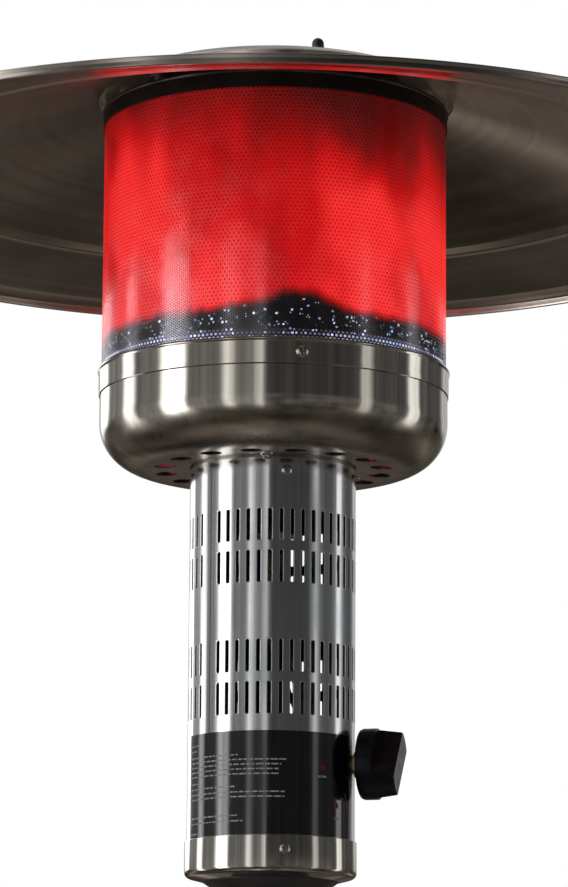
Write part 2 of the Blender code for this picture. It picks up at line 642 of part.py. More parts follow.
def build_cover(mats):
    """The tank cover slides up the post as one unit: drum, lid and the grommet that runs on the post."""
    cover = make_empty("cover_axis")
    low = SHELL_TOP + GAP
    drum = [(COVER_R, COVER_TOP), (COVER_R, low + 4 * MM), (COVER_R + 2 * MM, low), (COVER_R - 1 * MM, low),
            (COVER_R - 1 * MM, COVER_TOP)]
    lathe("tank_cover", drum, BIG, mats["bright"], cover)
    eye = POST_R + 9 * MM
    lid = [(COVER_R + 1.3 * MM, COVER_TOP - 14 * MM), (COVER_R + 1.3 * MM, COVER_TOP + 1.5 * MM),
           (COVER_R - 1.5 * MM, COVER_TOP + 4.5 * MM), (eye, COVER_TOP + 30 * MM),
           (eye, COVER_TOP + 28.6 * MM), (COVER_R - 2.5 * MM, COVER_TOP + 3 * MM),
           (COVER_R + 0.3 * MM, COVER_TOP + 0.4 * MM), (COVER_R + 0.3 * MM, COVER_TOP - 14 * MM)]
    lathe("cover_lid", lid, BIG, mats["bright"], cover)
    z = COVER_TOP + 29 * MM
    grommet = [(POST_R + 0.6 * MM, z + 10 * MM), (eye - 3 * MM, z + 10 * MM), (eye + 5 * MM, z + 4 * MM),
               (eye + 5 * MM, z + 1.5 * MM), (eye - GAP, z + 1.5 * MM), (eye - GAP, z - 6 * MM),
               (POST_R + 0.6 * MM, z - 6 * MM)]
    lathe("cover_grommet", grommet, MEDIUM, mats["rubber"], cover)


def build_wheels(mats):
    """A bracket behind the base carries one axle with a wheel at each end."""
    reach, foot_y = AXLE_Y + 9 * MM, BASE_R - 30 * MM
    span = WHEEL_X - WHEEL_W / 2 - 5 * MM
    low, high = BASE_T + GAP, 60 * MM
    back = reach - 18 * MM
    bracket = finish_mesh(
        "wheel_bracket",
        block_bm((2 * span, back - foot_y, 4 * MM), (0, (back + foot_y) / 2, low + 2 * MM)),
        mats["dark"], None)
    for side in (-1, 1):
        add(bracket, block_bm((4 * MM, reach - foot_y, high - low),
                              (side * (span - 2 * MM), (reach + foot_y) / 2, (low + high) / 2)))
    cut(bracket, rod_bm((-span - 9 * MM, AXLE_Y, AXLE_Z), (span + 9 * MM, AXLE_Y, AXLE_Z), AXLE_R + GAP, TINY))
    cut(bracket, rod_bm((0, 0, 0), (0, 0, 80 * MM), BASE_R - 5 * MM + GAP, 96))

    end = WHEEL_X + WHEEL_W / 2 + 4 * MM
    rod("wheel_axle", (-end, AXLE_Y, AXLE_Z), (end, AXLE_Y, AXLE_Z), AXLE_R, TINY, mats["steel"], None)
    half = WHEEL_W / 2
    bore = AXLE_R + 0.3 * MM
    tyre = [(bore, half), (12 * MM, half), (14 * MM, half - 5 * MM), (36 * MM, half - 5 * MM),
            (39 * MM, half), (WHEEL_R - 4 * MM, half), (WHEEL_R, half - 5 * MM)]
    wheel = tyre + [(r, -z) for r, z in tyre[::-1]]
    for name, side in (("wheel_left", -1), ("wheel_right", 1)):
        obj = lathe(name, wheel, 24, mats["rubber"], None)
        obj.location = (side * WHEEL_X, AXLE_Y, AXLE_Z)
        obj.rotation_euler = (0, math.radians(90), 0)
        cap = finish_mesh(f"axle_cap_{name[6:]}", spun(
            [(0, 6 * MM), (5 * MM, 5 * MM), (8 * MM, 2 * MM), (8 * MM, 0), (AXLE_R + GAP, 0),
             (AXLE_R + GAP, 3.2 * MM), (0, 3.2 * MM)], TINY, closed=False), mats["steel"], None)
        cap.location = (side * (WHEEL_X + half + GAP + 0.7 * MM), AXLE_Y, AXLE_Z)
        cap.rotation_euler = (0, math.radians(90 * side), 0)


# ---------------------------------------------------------------- gas supply
def build_regulator(mats):
    """The regulator hangs on the hose in the bottle bay, its coupling nut pointing down."""
    centre = Vector((0, REGULATOR_Y, REGULATOR_Z))
    pose = make_empty("regulator_axis", centre, None, Vector((0, -1, 0)).to_track_quat("Z", "Y"))
    bell = [(0, 19 * MM), (24 * MM, 17 * MM), (30 * MM, 10 * MM), (36 * MM, 5 * MM), (36 * MM, -5 * MM),
            (24 * MM, -9 * MM), (15 * MM, -16 * MM), (0, -16 * MM)]
    regulator = lathe_solid("regulator", bell, 24, mats["alloy"], pose)
    down, up = centre - Vector((0, 0, 30 * MM)), centre + Vector((0, 0, 30 * MM))
    cut_at = cutter_from("cut_regulator_inlet", rod_bm(down - Vector((0, 0, 20 * MM)), down, 5.4 * MM, TINY), None)
    spigot = cutter_from("regulator_spigot", rod_bm(up, up + Vector((0, 0, 16 * MM)), 7 * MM, TINY), None)
    boolean(regulator, spigot, "UNION")
    boolean(regulator, cut_at, "DIFFERENCE")

    nut_axis = make_empty("nut_axis", centre, None, Vector((0, 0, -1)).to_track_quat("Z", "Y"))
    lathe_solid("regulator_inlet",
                [(0, 30.4 * MM), (5 * MM, 30.4 * MM), (5 * MM, 58 * MM), (8 * MM, 60 * MM),
                 (8 * MM, 66 * MM), (4 * MM, 72 * MM), (0, 72 * MM)],
                TINY, mats["brass"], nut_axis)
    lathe("regulator_nut",
          [(5.6 * MM, 42 * MM), (16 * MM, 42 * MM), (19 * MM, 45 * MM), (19 * MM, 62 * MM),
           (17 * MM, 70 * MM), (15.4 * MM, 70 * MM), (15.4 * MM, 57 * MM), (5.6 * MM, 57 * MM)],
          16, mats["black"], nut_axis)


def build_hose(mats):
    """From the regulator up through the socket and the post to the valve's inlet."""
    valve = direction(KNOB_ANGLE) * 23 * MM
    route = [(0, REGULATOR_Y, REGULATOR_Z + 46 * MM + GAP), (0, REGULATOR_Y, REGULATOR_Z + 66 * MM),
             (0, REGULATOR_Y * 0.62, 0.612), (0, 0, 0.655), (0, 0, 0.70), (0, 0, 0.95), (0, 0, 1.25),
             (0, 0, HEAD_Z - 0.04),
             tuple(valve * 0.45 + Vector((0, 0, HEAD_Z + 15 * MM))),
             tuple(valve + Vector((0, 0, HEAD_Z + 45 * MM))),
             tuple(valve + Vector((0, 0, HEAD_Z + KNOB_Z - 20 * MM - GAP)))]
    tube("gas_hose", smooth_route(route, 26 * MM), 6 * MM, mats["rubber"], None)


def build_screws(mats, head):
    """Pan-head screws of the burner ring."""
    z = (RING_TOP + RING_BOTTOM) / 2 - 0.7 * MM
    for i in range(3):
        axis = direction(9.0 + 120.0 * i)
        spot = axis * (RING_R + GAP) + Vector((0, 0, z))
        screw = finish_mesh(f"ring_screw_{i + 1}", spun(
            [(0, 2.2 * MM), (2.4 * MM, 1.7 * MM), (3.8 * MM, 0), (0, 0)], TINY, closed=False),
            mats["steel"], head, spot)
        screw.rotation_mode = "QUATERNION"
        screw.rotation_quaternion = axis.to_track_quat("Z", "Y")


def main():
    clear_scene()
    mats = make_materials()
    head = make_empty("head", (0, 0, HEAD_Z))
    build_reflector(mats, head)
    build_reflector_fixings(mats, head)
    build_emitter(mats, head)
    build_burner(mats, head)
    build_bowl(mats, head)
    build_housing(mats, head)
    build_label(mats, head)
    build_collar(mats, head)
    build_controls(mats, head)
    build_lines(mats, head)
    build_screws(mats, head)
    build_post(mats)
    build_base(mats)
    build_cover(mats)
    build_wheels(mats)
    build_regulator(mats)
    build_hose(mats)


main()
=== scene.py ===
"""The looks of the patio heater: fine surfaces, materials, studio and camera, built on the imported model."""

import random
from math import acos, asin, atan2, copysign, cos, degrees, hypot, pi, radians, sin, sqrt, tan, tau

import bmesh
import bpy
from mathutils import Matrix, Vector


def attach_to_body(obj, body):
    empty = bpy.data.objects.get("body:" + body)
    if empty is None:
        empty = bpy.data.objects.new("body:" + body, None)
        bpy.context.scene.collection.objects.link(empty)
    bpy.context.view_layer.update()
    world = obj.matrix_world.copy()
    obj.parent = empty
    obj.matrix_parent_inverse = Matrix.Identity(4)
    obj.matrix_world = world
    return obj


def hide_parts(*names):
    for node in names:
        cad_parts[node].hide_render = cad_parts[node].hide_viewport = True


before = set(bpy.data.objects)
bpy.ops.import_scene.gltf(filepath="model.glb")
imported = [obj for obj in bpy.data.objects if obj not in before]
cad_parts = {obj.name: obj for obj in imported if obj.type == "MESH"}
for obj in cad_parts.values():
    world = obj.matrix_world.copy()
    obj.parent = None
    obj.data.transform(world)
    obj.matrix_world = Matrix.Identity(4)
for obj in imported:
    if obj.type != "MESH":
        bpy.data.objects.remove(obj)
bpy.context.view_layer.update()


# ---------------------------------------------------------------- dimensions in millimetres, as in the CAD
MM = 0.001  # one millimetre in metres; meshes are built in millimetres and scaled when they are finished
HEAD_Z = 1595
HOUSING_R, SHEET = 62, 1.0
HOUSING_LOW, HOUSING_TOP = 2, 298.6
SLOT_W, SLOT_H, SLOT_COUNT, SLOT_PITCH = 2.75, 23.5, 46, 7.6
SEAM_ANGLE = -48.6
SLOT_ROWS = [121, 152, 217.8, 248.7]
COLLAR_H, LABEL_H, LABEL_FROM, LABEL_TO = 21, 75.5, -70.3, 65.5
BOWL_R, BOWL_BOTTOM, BOWL_CORNER, BOWL_TOP = 130.6, 299.2, 35, 366
VENT_COUNT, VENT_R, VENT_RING_R = 16, 8, 82
RING_R, RING_BOTTOM, RING_TOP = 131.7, 354, 374
EMITTER_R, EMITTER_LOW, EMITTER_TOP, LID_SKIRT = 129.5, 352.3, 575, 14
REFLECTOR_R, CROWN_TOP, STUD_RING_R = 396, 598.7, 87
STUD_ANGLES = [21.0, 141.0, 261.0]
KNOB_ANGLE, KNOB_Z, KNOB_BACK = 76.0, 77.5, 68.8
KNOB_R, KNOB_SKIRT_H, KNOB_H, GRIP_TURN = 26.2, 12.6, 28.8, -41.0
POST_R, POST_FOOT, NECK_DROP = 30, 655, 55
BASE_R, SHELL_TOP, COVER_R, COVER_TOP = 228.6, 50, 203, 788
WHEEL_R, WHEEL_W, AXLE_Y, AXLE_Z, WHEEL_X = 50, 26, 272, 52, 112
SCREEN_COLUMNS, HOLE_R = 246, 1.12  # holes round the emitter screen, and their radius
FINE = 192  # facets of a large turned piece
LOOKS = {}  # the materials by short name, filled by main()


def direction(angle):
    a = radians(angle)
    return Vector((sin(a), -cos(a), 0))


def around(angle, radius, z):
    return direction(angle) * radius + Vector((0, 0, z))


def rotation(angle, axis):
    return Matrix.Rotation(radians(angle), 4, axis)


def aim(axis):
    """A turn that points Z along the axis."""
    return axis.to_track_quat("Z", "Y").to_matrix().to_4x4()


def link(obj):
    bpy.context.scene.collection.objects.link(obj)


# ---------------------------------------------------------------- node tools


class Value:
    """A node's output that adds, subtracts and multiplies like a number."""

    def __init__(self, nodes, socket):
        self.nodes, self.socket = nodes, socket

    def __add__(self, other):
        return self.nodes.math("ADD", self, other)

    def __sub__(self, other):
        return self.nodes.math("SUBTRACT", self, other)

    def __mul__(self, other):
        return self.nodes.math("MULTIPLY", self, other)


class Nodes:
    """A node tree under construction; inputs take numbers, colours or Values."""

    def __init__(self, tree):
        self.tree = tree

    def feed(self, socket, value):
        if isinstance(value, Value):
            self.tree.links.new(value.socket, socket)
        elif isinstance(value, tuple) and len(socket.default_value) == 4:
            socket.default_value = (*value, 1.0)
        else:
            socket.default_value = value

    def new(self, kind, inputs, **settings):
        node = self.tree.nodes.new("ShaderNode" + kind)
        for key, value in settings.items():
            setattr(node, key, value)
        for key, value in inputs.items():
            self.feed(node.inputs[key], value)
        return node

    def get(self, kind, inputs, output=0, **settings):
        return Value(self, self.new(kind, inputs, **settings).outputs[output])

    def math(self, operation, a, b=None, **settings):
        inputs = {0: a} if b is None else {0: a, 1: b}
        return self.get("Math", inputs, operation=operation, **settings)

    def split(self, vector):
        return [Value(self, socket) for socket in self.new("SeparateXYZ", {0: vector}).outputs]

    def spread(self, value, low, high, out_low=0.0, out_high=1.0, how="SMOOTHSTEP"):
        inputs = {"Value": value, "From Min": low, "From Max": high, "To Min": out_low, "To Max": out_high}
        return self.get("MapRange", inputs, interpolation_type=how)

    def blend(self, factor, a, b, mode="MIX"):
        return self.get("Mix", {0: factor, "A": a, "B": b}, "Result", data_type="RGBA", blend_type=mode)

    def ramp(self, value, stops, how="LINEAR"):
        node = self.new("ValToRGB", {0: value})
        node.color_ramp.interpolation = how
        elements = node.color_ramp.elements
        while len(elements) < len(stops):
            elements.new(0.5)
        for element, (at, color) in zip(elements, stops):
            element.position, element.color = at, (*color, 1)
        return Value(self, node.outputs[0])


class Shader(Nodes):
    """One material under construction: a Principled BSDF and the nodes that feed it."""

    def __init__(self, name, **constants):
        self.material = bpy.data.materials.new(name)
        self.material.use_nodes = True
        super().__init__(self.material.node_tree)
        self.bsdf = self.tree.nodes["Principled BSDF"]
        for key, value in constants.items():
            self.bsdf.inputs[key.replace("_", " ")].default_value = value
        self.position = self.get("TexCoord", {}, "Object")
        self.x, self.y, self.z = self.split(self.position)

    def angle(self):
        """The angle round the post in radians, 0 at the front."""
        return self.math("ARCTAN2", self.x, self.y * -1.0)

    def noise(self, scale, detail=2.0, rough=0.5, at=None):
        """Noise from 0 to 1, its scale per axis in features per metre."""
        scale = scale if isinstance(scale, tuple) else (scale, scale, scale)
        scaled = self.get("Mapping", {"Vector": at or self.position, "Scale": scale})
        return self.get("TexNoise", {"Vector": scaled, "Scale": 1.0, "Detail": detail, "Roughness": rough}, "Fac")

    def rings(self, scale):
        """Noise that varies with the distance from the axis, as turning marks do."""
        radius = self.math("SQRT", self.x * self.x + self.y * self.y)
        return self.noise(scale, at=self.get("CombineXYZ", {0: radius, 1: self.angle() * 0.004, 2: self.z * 0.2}))

    def color(self, value):
        self.feed(self.bsdf.inputs["Base Color"], value)

    def roughness(self, value):
        self.feed(self.bsdf.inputs["Roughness"], value)

    def glow(self, value):
        self.feed(self.bsdf.inputs["Emission Color"], value)
        self.bsdf.inputs["Emission Strength"].default_value = 1.0

    def bump(self, height, distance, strength=1.0, below=None):
        inputs = {"Distance": distance, "Strength": strength, "Height": height}
        if below is not None:
            inputs["Normal"] = below
        normal = self.get("Bump", inputs)
        self.feed(self.bsdf.inputs["Normal"], normal)
        return normal


# ---------------------------------------------------------------- camera, world, lights, floor


def make_camera():
    """The viewpoint: chest height, three metres back, looking up at the head with a long lens."""
    data = bpy.data.cameras.new("camera")
    data.sensor_width = 36
    data.lens = 170.5
    cam = bpy.data.objects.new("camera", data)
    link(cam)
    pitch, yaw, roll = 11.05, -0.149, 0.366
    cam.matrix_world = (
        Matrix.Translation((0, -3.091, (HEAD_Z + EMITTER_TOP) * MM - 0.858))
        @ rotation(yaw, "Z")
        @ rotation(90 + pitch, "X")
        @ rotation(roll, "Z")
    )
    bpy.context.scene.camera = cam


def make_world():
    """A white room with soft strips of light round it: left bright, right dim, dark below."""
    world = bpy.data.worlds.new("studio")
    bpy.context.scene.world = world
    world.use_nodes = True
    world.node_tree.nodes.clear()
    w = Nodes(world.node_tree)
    towards = w.get("TexCoord", {}, "Generated")
    x, y, z = w.split(towards)
    turn = w.math("ARCTAN2", x, y * -1.0)
    strips = [  # azimuth, half width, brightness, and the level of the wall after it
        (-150, 15, 2.20, 0.24),
        (-110, 8, 1.70, 0.17),
        (-70, 13, 2.60, 0.15),
        (-30, 6, 0.85, 0.17),
        (-9, 4, 0.70, 0.045),
        (63, 6, 0.62, 0.07),
        (105, 7, 1.20, 0.09),
        (155, 12, 0.60, 0.30),
    ]
    before = 0.5
    stops = [(-180, before)]
    for azimuth, half, level, after in strips:
        stops += [(azimuth - half, before), (azimuth - 0.45 * half, level), (azimuth + 0.45 * half, level),
            (azimuth + half, after)]
        before = after
    stops = stops[:31] + [(180, 0.5)]  # a ramp holds 32 stops
    walls = w.ramp(turn * (1 / tau) + 0.5, [(a / 360 + 0.5, (level,) * 3) for a, level in stops], "EASE")
    line_at = w.get("CombineXYZ", {0: turn * 9.0})
    lines = w.get("TexNoise", {"Vector": line_at, "Scale": 1.0, "Detail": 3.0, "Roughness": 0.65}, "Fac")
    lined = w.blend(1.0, walls, w.spread(lines, 0.38, 0.62, 0.62, 1.45, "LINEAR"), "MULTIPLY")
    height = z * 0.5 + 0.5

    def by_height(levels, warm=1.0):
        return w.ramp(height, [(at / 2 + 0.5, (level * warm, level, level / warm)) for at, level in levels])

    behind = w.spread(y, 0.25, 0.75)
    front = [(-0.55, 0.0), (-0.44, 0.3), (-0.33, 0.95), (0.208, 1.0), (0.234, 0.5), (0.262, 0.2), (0.32, 0.45),
        (1.0, 0.6)]
    light = w.blend(behind, by_height(front), by_height([(0.0, 0.0), (0.1, 0.9), (1.0, 0.6)]))
    near_ground = [(-1.0, 0.15), (-0.9, 0.085), (-0.78, 0.04), (-0.4, 0.035), (0.02, 0.03), (0.1, 0.0)]
    far_ground = [(-1.0, 0.15), (-0.9, 0.085), (-0.78, 0.038), (-0.5, 0.036), (-0.4, 0.06), (-0.32, 0.145),
        (-0.24, 0.05), (0.02, 0.045), (0.1, 0.0)]
    ground = w.blend(behind, by_height(near_ground, 1.17), by_height(far_ground, 1.17))
    patches = w.get("TexNoise", {"Vector": towards, "Scale": 3.2, "Detail": 3.0}, "Fac")
    ground = w.blend(1.0, ground, w.spread(patches, 0.38, 0.64, 0.35, 2.3, "LINEAR"), "MULTIPLY")
    room = w.blend(1.0, w.blend(1.0, lined, light, "MULTIPLY"), ground, "ADD")
    white = w.get("Background", {0: (1.0, 1.0, 1.0)})
    seen = w.get("LightPath", {}, "Is Camera Ray")
    w.new("OutputWorld", {0: w.get("MixShader", {0: seen, 1: w.get("Background", {0: room}), 2: white})})
    bpy.context.scene.view_settings.view_transform = "Standard"


def make_light(name, location, target, size, power):
    data = bpy.data.lights.new(name, "AREA")
    data.shape, data.size, data.energy = "DISK", size, power
    light = bpy.data.objects.new(name, data)
    link(light)
    light.location = location
    light.visible_glossy = False
    light.rotation_mode = "QUATERNION"
    light.rotation_quaternion = (Vector(target) - Vector(location)).to_track_quat("-Z", "Y")


def make_studio():
    make_world()
    make_light("key", (-2.4, -2.6, 3.6), (0, 0, 1.6), 1.6, 70)
    make_light("fill", (2.8, -2.2, 2.4), (0, 0, 1.5), 1.8, 24)
    make_light("back", (0.6, 3.0, 3.4), (0, 0, 1.5), 2.0, 60)
    bm = bmesh.new()
    bmesh.ops.create_circle(bm, cap_ends=True, segments=128, radius=1.7)
    mesh = bpy.data.meshes.new("floor")
    bm.to_mesh(mesh)
    bm.free()
    floor = bpy.data.objects.new("floor", mesh)
    floor.location.z = -0.0005
    floor.visible_glossy = False
    link(floor)
    mesh.materials.append(plain("studio_floor", (0.74, 0.74, 0.73), (0.80, 0.80, 0.79), 0.75, scale=3))


# ---------------------------------------------------------------- materials


def plain(name, dark, light, rough, metallic=0.0, scale=60, grain=900, bump=0.00002, **constants):
    """Paint, plastic or rubber: mottled colour, worn roughness and a fine grain."""
    s = Shader(name, Metallic=metallic, **constants)
    s.color(s.blend(s.spread(s.noise(scale, 4.0, 0.6), 0.3, 0.7), dark, light))
    s.roughness(s.spread(s.noise(scale * 2.3, 3.0), 0.25, 0.75, rough * 0.85, min(1.0, rough * 1.2)))
    s.bump(s.noise(grain), bump)
    return s.material


def brushed(name, dark, light, rough, lines, fine=1400, wave=0.0006, wave_scale=(9, 9, 4), tint=None):
    """Sheet steel: brush lines 'around' or 'along', faint smears, and a wavy sheet."""
    s = Shader(name, Metallic=1.0)
    if lines == "around":
        stroke, broad = s.noise((5, 5, fine)), s.noise((3, 3, fine / 5), 3.0)
    else:
        stroke, broad = s.noise((fine, fine, 3)), s.noise((fine / 6, fine / 6, 2), 3.0)
    smear = s.noise(14, 4.0, 0.6)
    shade = s.blend(s.spread(stroke * 0.45 + broad * 0.55, 0.32, 0.68), dark, light)
    if tint is not None:
        shade = s.blend(s.spread(smear, 0.4, 0.75, 0.0, 0.6), shade, tint)
    s.color(shade)
    s.roughness(s.spread(broad * 0.5 + smear * 0.5, 0.3, 0.7, rough * 0.7, rough * 1.35))
    s.bump(stroke, 0.000006, 1.0, s.bump(s.noise(wave_scale, 1.0), wave, 0.6))
    return s.material


def bowl_steel_shaded_belly(name):
    """The bowl's steel: a bright brushed wall, and a rougher belly painted darker and browner, as painted shade for the
    dark ground it reflects.
    """
    s = Shader(name, Metallic=1.0)
    stroke, broad = s.noise((500, 500, 3)), s.noise((84, 84, 2), 3.0)
    wall = s.blend(s.spread(stroke * 0.45 + broad * 0.55, 0.32, 0.68), (0.61, 0.585, 0.53), (0.74, 0.715, 0.66))
    wall = s.blend(s.spread(s.noise(14, 4.0, 0.6), 0.4, 0.75, 0.0, 0.6), wall, (0.68, 0.62, 0.50))
    height = s.z - (HEAD_Z + BOWL_BOTTOM) * MM + (s.noise((70, 70, 30)) - 0.5) * (10 * MM)
    belly = s.spread(height, 16 * MM, 27 * MM, 1.0, 0.0)
    # painted shade: the downward-facing belly is coloured darker and browner, standing for the dark reflection under
    # the bowl
    painted_shade_belly_color = s.blend(s.spread(s.noise(24, 3.0, 0.6), 0.35, 0.65), (0.30, 0.27, 0.235), (0.52, 0.48, 0.43))
    s.color(s.blend(belly, wall, painted_shade_belly_color))
    s.roughness(s.spread(broad, 0.3, 0.7, 0.06, 0.115) + belly * 0.19)
    s.bump(stroke, 0.000006, 1.0, s.bump(s.noise((16, 16, 2.5), 1.0), 0.0012, 0.6))
    return s.material


def heat_map(s):
    """How hot the screen is: full in the middle, dull towards the top, cold in a ragged hem at the bottom."""
    z = s.z - (HEAD_Z + RING_TOP) * MM
    front_on = s.math("ABSOLUTE", s.math("COSINE", s.angle() - 0.10))
    hump = s.math("POWER", front_on, 26.0) * (13 * MM)
    ragged = (s.noise((42, 42, 18), 3.0, 0.6) - 0.5) * (16 * MM)
    warm = s.spread(z - hump - ragged, 16 * MM, 27 * MM)
    top = z + s.math("SINE", s.angle()) * (22 * MM) + s.noise((15, 15, 9)) * (70 * MM)
    cooling = s.spread(top, 140 * MM, 246 * MM, 1.0, 0.12)
    patches = s.spread(s.noise((13, 13, 8)), 0.32, 0.56, 0.62, 1.05)
    streaks = s.spread(s.noise((34, 34, 5)), 0.30, 0.60, 0.88, 1.04)
    return warm * cooling * (patches * streaks), z


def glow_color(s, heat):
    hues = [(0.0, (0.0, 0.0, 0.0)), (0.3, (0.20, 0.001, 0.0015)), (0.65, (0.62, 0.003, 0.005)),
        (1.0, (1.0, 0.026, 0.026))]
    return s.ramp(heat, hues)


def glowing_steel(name):
    """Perforated steel with a black oxide skin and bright punched rims, red hot but for its hem."""
    s = Shader(name, Metallic=1.0)
    pitch = tau * EMITTER_R * MM / SCREEN_COLUMNS
    rise = pitch / (2 * sqrt(3))
    across = s.angle() * (EMITTER_R * MM / pitch)
    up = (s.z - (HEAD_Z + EMITTER_LOW) * MM) * (1 / (6 * rise))

    def distance(u_shift, v_shift):
        a = (s.math("FRACT", across + u_shift) - 0.5) * pitch
        b = (s.math("FRACT", up + v_shift) - 0.5) * (6 * rise)
        return s.math("SQRT", a * a + b * b)

    near = s.math("MINIMUM", distance(200.5, 20.5 - 2 / 6), distance(200.0, 20.5 - 5 / 6))
    rim = s.spread(near, 1.16 * MM, 1.36 * MM, 1.0, 0.0)
    soot = s.noise(40, 3.0)
    s.color(s.blend(rim, s.blend(soot, (0.014, 0.013, 0.015), (0.040, 0.038, 0.042)), (0.86, 0.86, 0.92)))
    s.roughness(s.spread(soot, 0.3, 0.7, 0.30, 0.46) - rim * 0.21)
    s.glow(glow_color(s, heat_map(s)[0]))
    return s.material


def painted_burner_light(name):
    """Sooty sheet above the vents with painted light: a patchy dull red glow standing for the burner's light on it."""
    s = Shader(name, Metallic=0.0, Roughness=0.8)
    cloud = s.noise(30, 3.0)
    s.color(s.blend(cloud, (0.01, 0.008, 0.008), (0.03, 0.02, 0.02)))
    # painted light: the glow stands for the burner's red light falling on the sheet
    s.glow(s.blend(s.spread(cloud, 0.35, 0.65), (0.012, 0.002, 0.003), (0.15, 0.018, 0.028)))
    return s.material


def fire_layer(name):
    """What shows through the holes: a blue-white flame at the foot, a few sparks, a dull red above."""
    s = Shader(name, Metallic=0.0, Roughness=0.9)
    s.color(s.blend(s.noise(16, 3.0), (0.008, 0.006, 0.006), (0.02, 0.015, 0.015)))
    heat, z = heat_map(s)
    red = s.blend(1.0, glow_color(s, heat), (0.60, 0.60, 0.60), "MULTIPLY")
    flicker = s.spread(s.noise((26, 26, 40)), 0.35, 0.62, 0.25, 1.0)
    turned_away = s.math("ABSOLUTE", s.math("SINE", s.angle() - 0.1))
    flame = s.spread(z, 4.2 * MM, 7.5 * MM, 1.0, 0.0) * (flicker * (turned_away * 0.75 + 0.25))
    cells = s.get("TexVoronoi", {"Scale": 420.0, "Vector": s.position}, "Color")
    pick, strength, hue = (Value(s, socket) for socket in s.new("SeparateColor", {0: cells}).outputs)
    chance = s.spread(z, 6 * MM, 38 * MM, 0.17, 0.0) * s.spread(heat, 0.02, 0.3, 1.0, 0.0)
    spark = s.math("LESS_THAN", pick, chance) * s.spread(strength, 0.0, 1.0, 0.25, 1.0)
    light = s.math("ADD", flame, spark, use_clamp=True)
    s.glow(s.blend(light, red, s.blend(hue, (0.40, 0.58, 1.25), (1.20, 1.12, 1.25))))
    return s.material


def reflector_metal(name):
    """Spun sheet, dull and dark from the heat: faint turning rings, soft radial stains."""
    s = Shader(name, Metallic=1.0)
    stain = s.noise(9, 4.0, 0.6)
    mixed = s.rings(150) * 0.5 + stain * 0.5
    s.color(s.blend(s.spread(mixed, 0.35, 0.65), (0.44, 0.385, 0.335), (0.60, 0.54, 0.485)))
    s.roughness(s.spread(stain, 0.3, 0.7, 0.17, 0.27))
    s.bump(s.rings(1500), 0.000008, 1.0, s.bump(s.noise(5, 1.0), 0.0012, 0.4))
    return s.material


def label_film(name):
    """Glossy black film."""
    s = Shader(name, Metallic=0.0, IOR=1.75, Coat_Weight=0.6, Coat_Roughness=0.06)
    cloud = s.noise(35, 3.0)
    s.color(s.blend(cloud, (0.0015, 0.0015, 0.002), (0.004, 0.004, 0.005)))
    s.roughness(s.spread(cloud, 0.3, 0.7, 0.09, 0.16))
    s.bump(s.noise((9, 9, 3), 1.0), 0.0006, 0.5)
    return s.material


def make_materials():
    return {
        "bowl": brushed("bowl_steel", (0.61, 0.585, 0.53), (0.74, 0.715, 0.66), 0.085, "along", fine=500,
            wave=0.0012, wave_scale=(16, 16, 2.5), tint=(0.68, 0.62, 0.50)),
        "belly": bowl_steel_shaded_belly("bowl_steel_shaded_belly"),
        "housing": brushed("housing_steel", (0.74, 0.74, 0.755), (0.93, 0.93, 0.945), 0.17, "along",
            wave=0.0010, wave_scale=(12, 12, 4), tint=(0.66, 0.72, 0.74)),
        "shell": brushed("shell_steel", (0.66, 0.65, 0.63), (0.84, 0.83, 0.81), 0.2, "around", wave=0.0010),
        "post": brushed("post_steel", (0.68, 0.68, 0.67), (0.86, 0.86, 0.85), 0.15, "along"),
        "reflector": reflector_metal("reflector_steel"),
        "hot": glowing_steel("hot_steel"),
        "liner": fire_layer("fire_layer"),
        "painted_burner_light": painted_burner_light("painted_burner_light"),
        "scorched": plain("scorched_steel", (0.09, 0.08, 0.08), (0.20, 0.18, 0.17), 0.45, 1.0, scale=40),
        # painted shade: near-black colour for the housing's inner faces, slot walls and inner sheet, standing for the
        # shade inside the housing
        "inside": plain("inner_shade_steel", (0.05, 0.05, 0.05), (0.14, 0.14, 0.14), 0.5, 1.0, scale=50),
        "lid": plain("scorched_lid", (0.006, 0.005, 0.005), (0.022, 0.017, 0.016), 0.42, scale=30, grain=500,
            bump=0.00004),
        "black_paint": plain("black_paint", (0.012, 0.012, 0.012), (0.03, 0.029, 0.029), 0.38, scale=25, grain=700,
            bump=0.00004),
        "steel": plain("zinc_steel", (0.38, 0.38, 0.38), (0.58, 0.58, 0.59), 0.3, 1.0, scale=150),
        "screw": plain("screw_steel", (0.55, 0.54, 0.52), (0.78, 0.77, 0.75), 0.12, 1.0, scale=300),
        # dark brass colour: its brass tone is real, its darkness is painted shade for the dark surroundings the bushing
        # nut reflects
        "brass": plain("brass_darkened_as_shade", (0.12, 0.085, 0.045), (0.30, 0.225, 0.12), 0.36, 1.0, scale=120),
        "alloy": plain("cast_alloy", (0.36, 0.36, 0.37), (0.52, 0.52, 0.53), 0.45, 1.0, scale=90, grain=600,
            bump=0.0001),
        "black": plain("knob_plastic", (0.002, 0.002, 0.003), (0.006, 0.006, 0.008), 0.24, scale=70, grain=1500,
            bump=0.00001, IOR=1.33, Specular_IOR_Level=0.3),
        "rubber": plain("black_rubber", (0.010, 0.010, 0.010), (0.026, 0.025, 0.025), 0.62, scale=45, grain=800,
            bump=0.00005),
        "ceramic": plain("white_ceramic", (0.70, 0.68, 0.62), (0.84, 0.82, 0.77), 0.3, scale=120),
        "red": plain("red_plastic", (0.38, 0.015, 0.012), (0.55, 0.03, 0.022), 0.35, scale=90),
        "label": label_film("label_film"),
        "print": plain("label_print", (0.13, 0.135, 0.15), (0.30, 0.31, 0.34), 0.5, scale=400),
        "mark": plain("red_print", (0.08, 0.005, 0.006), (0.15, 0.010, 0.010), 0.5, scale=400),
    }


# ---------------------------------------------------------------- shape tools


def attach(obj, replaces, body):
    link(obj)
    bpy.context.view_layer.update()
    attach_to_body(obj, body)
    if replaces:
        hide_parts(*replaces)


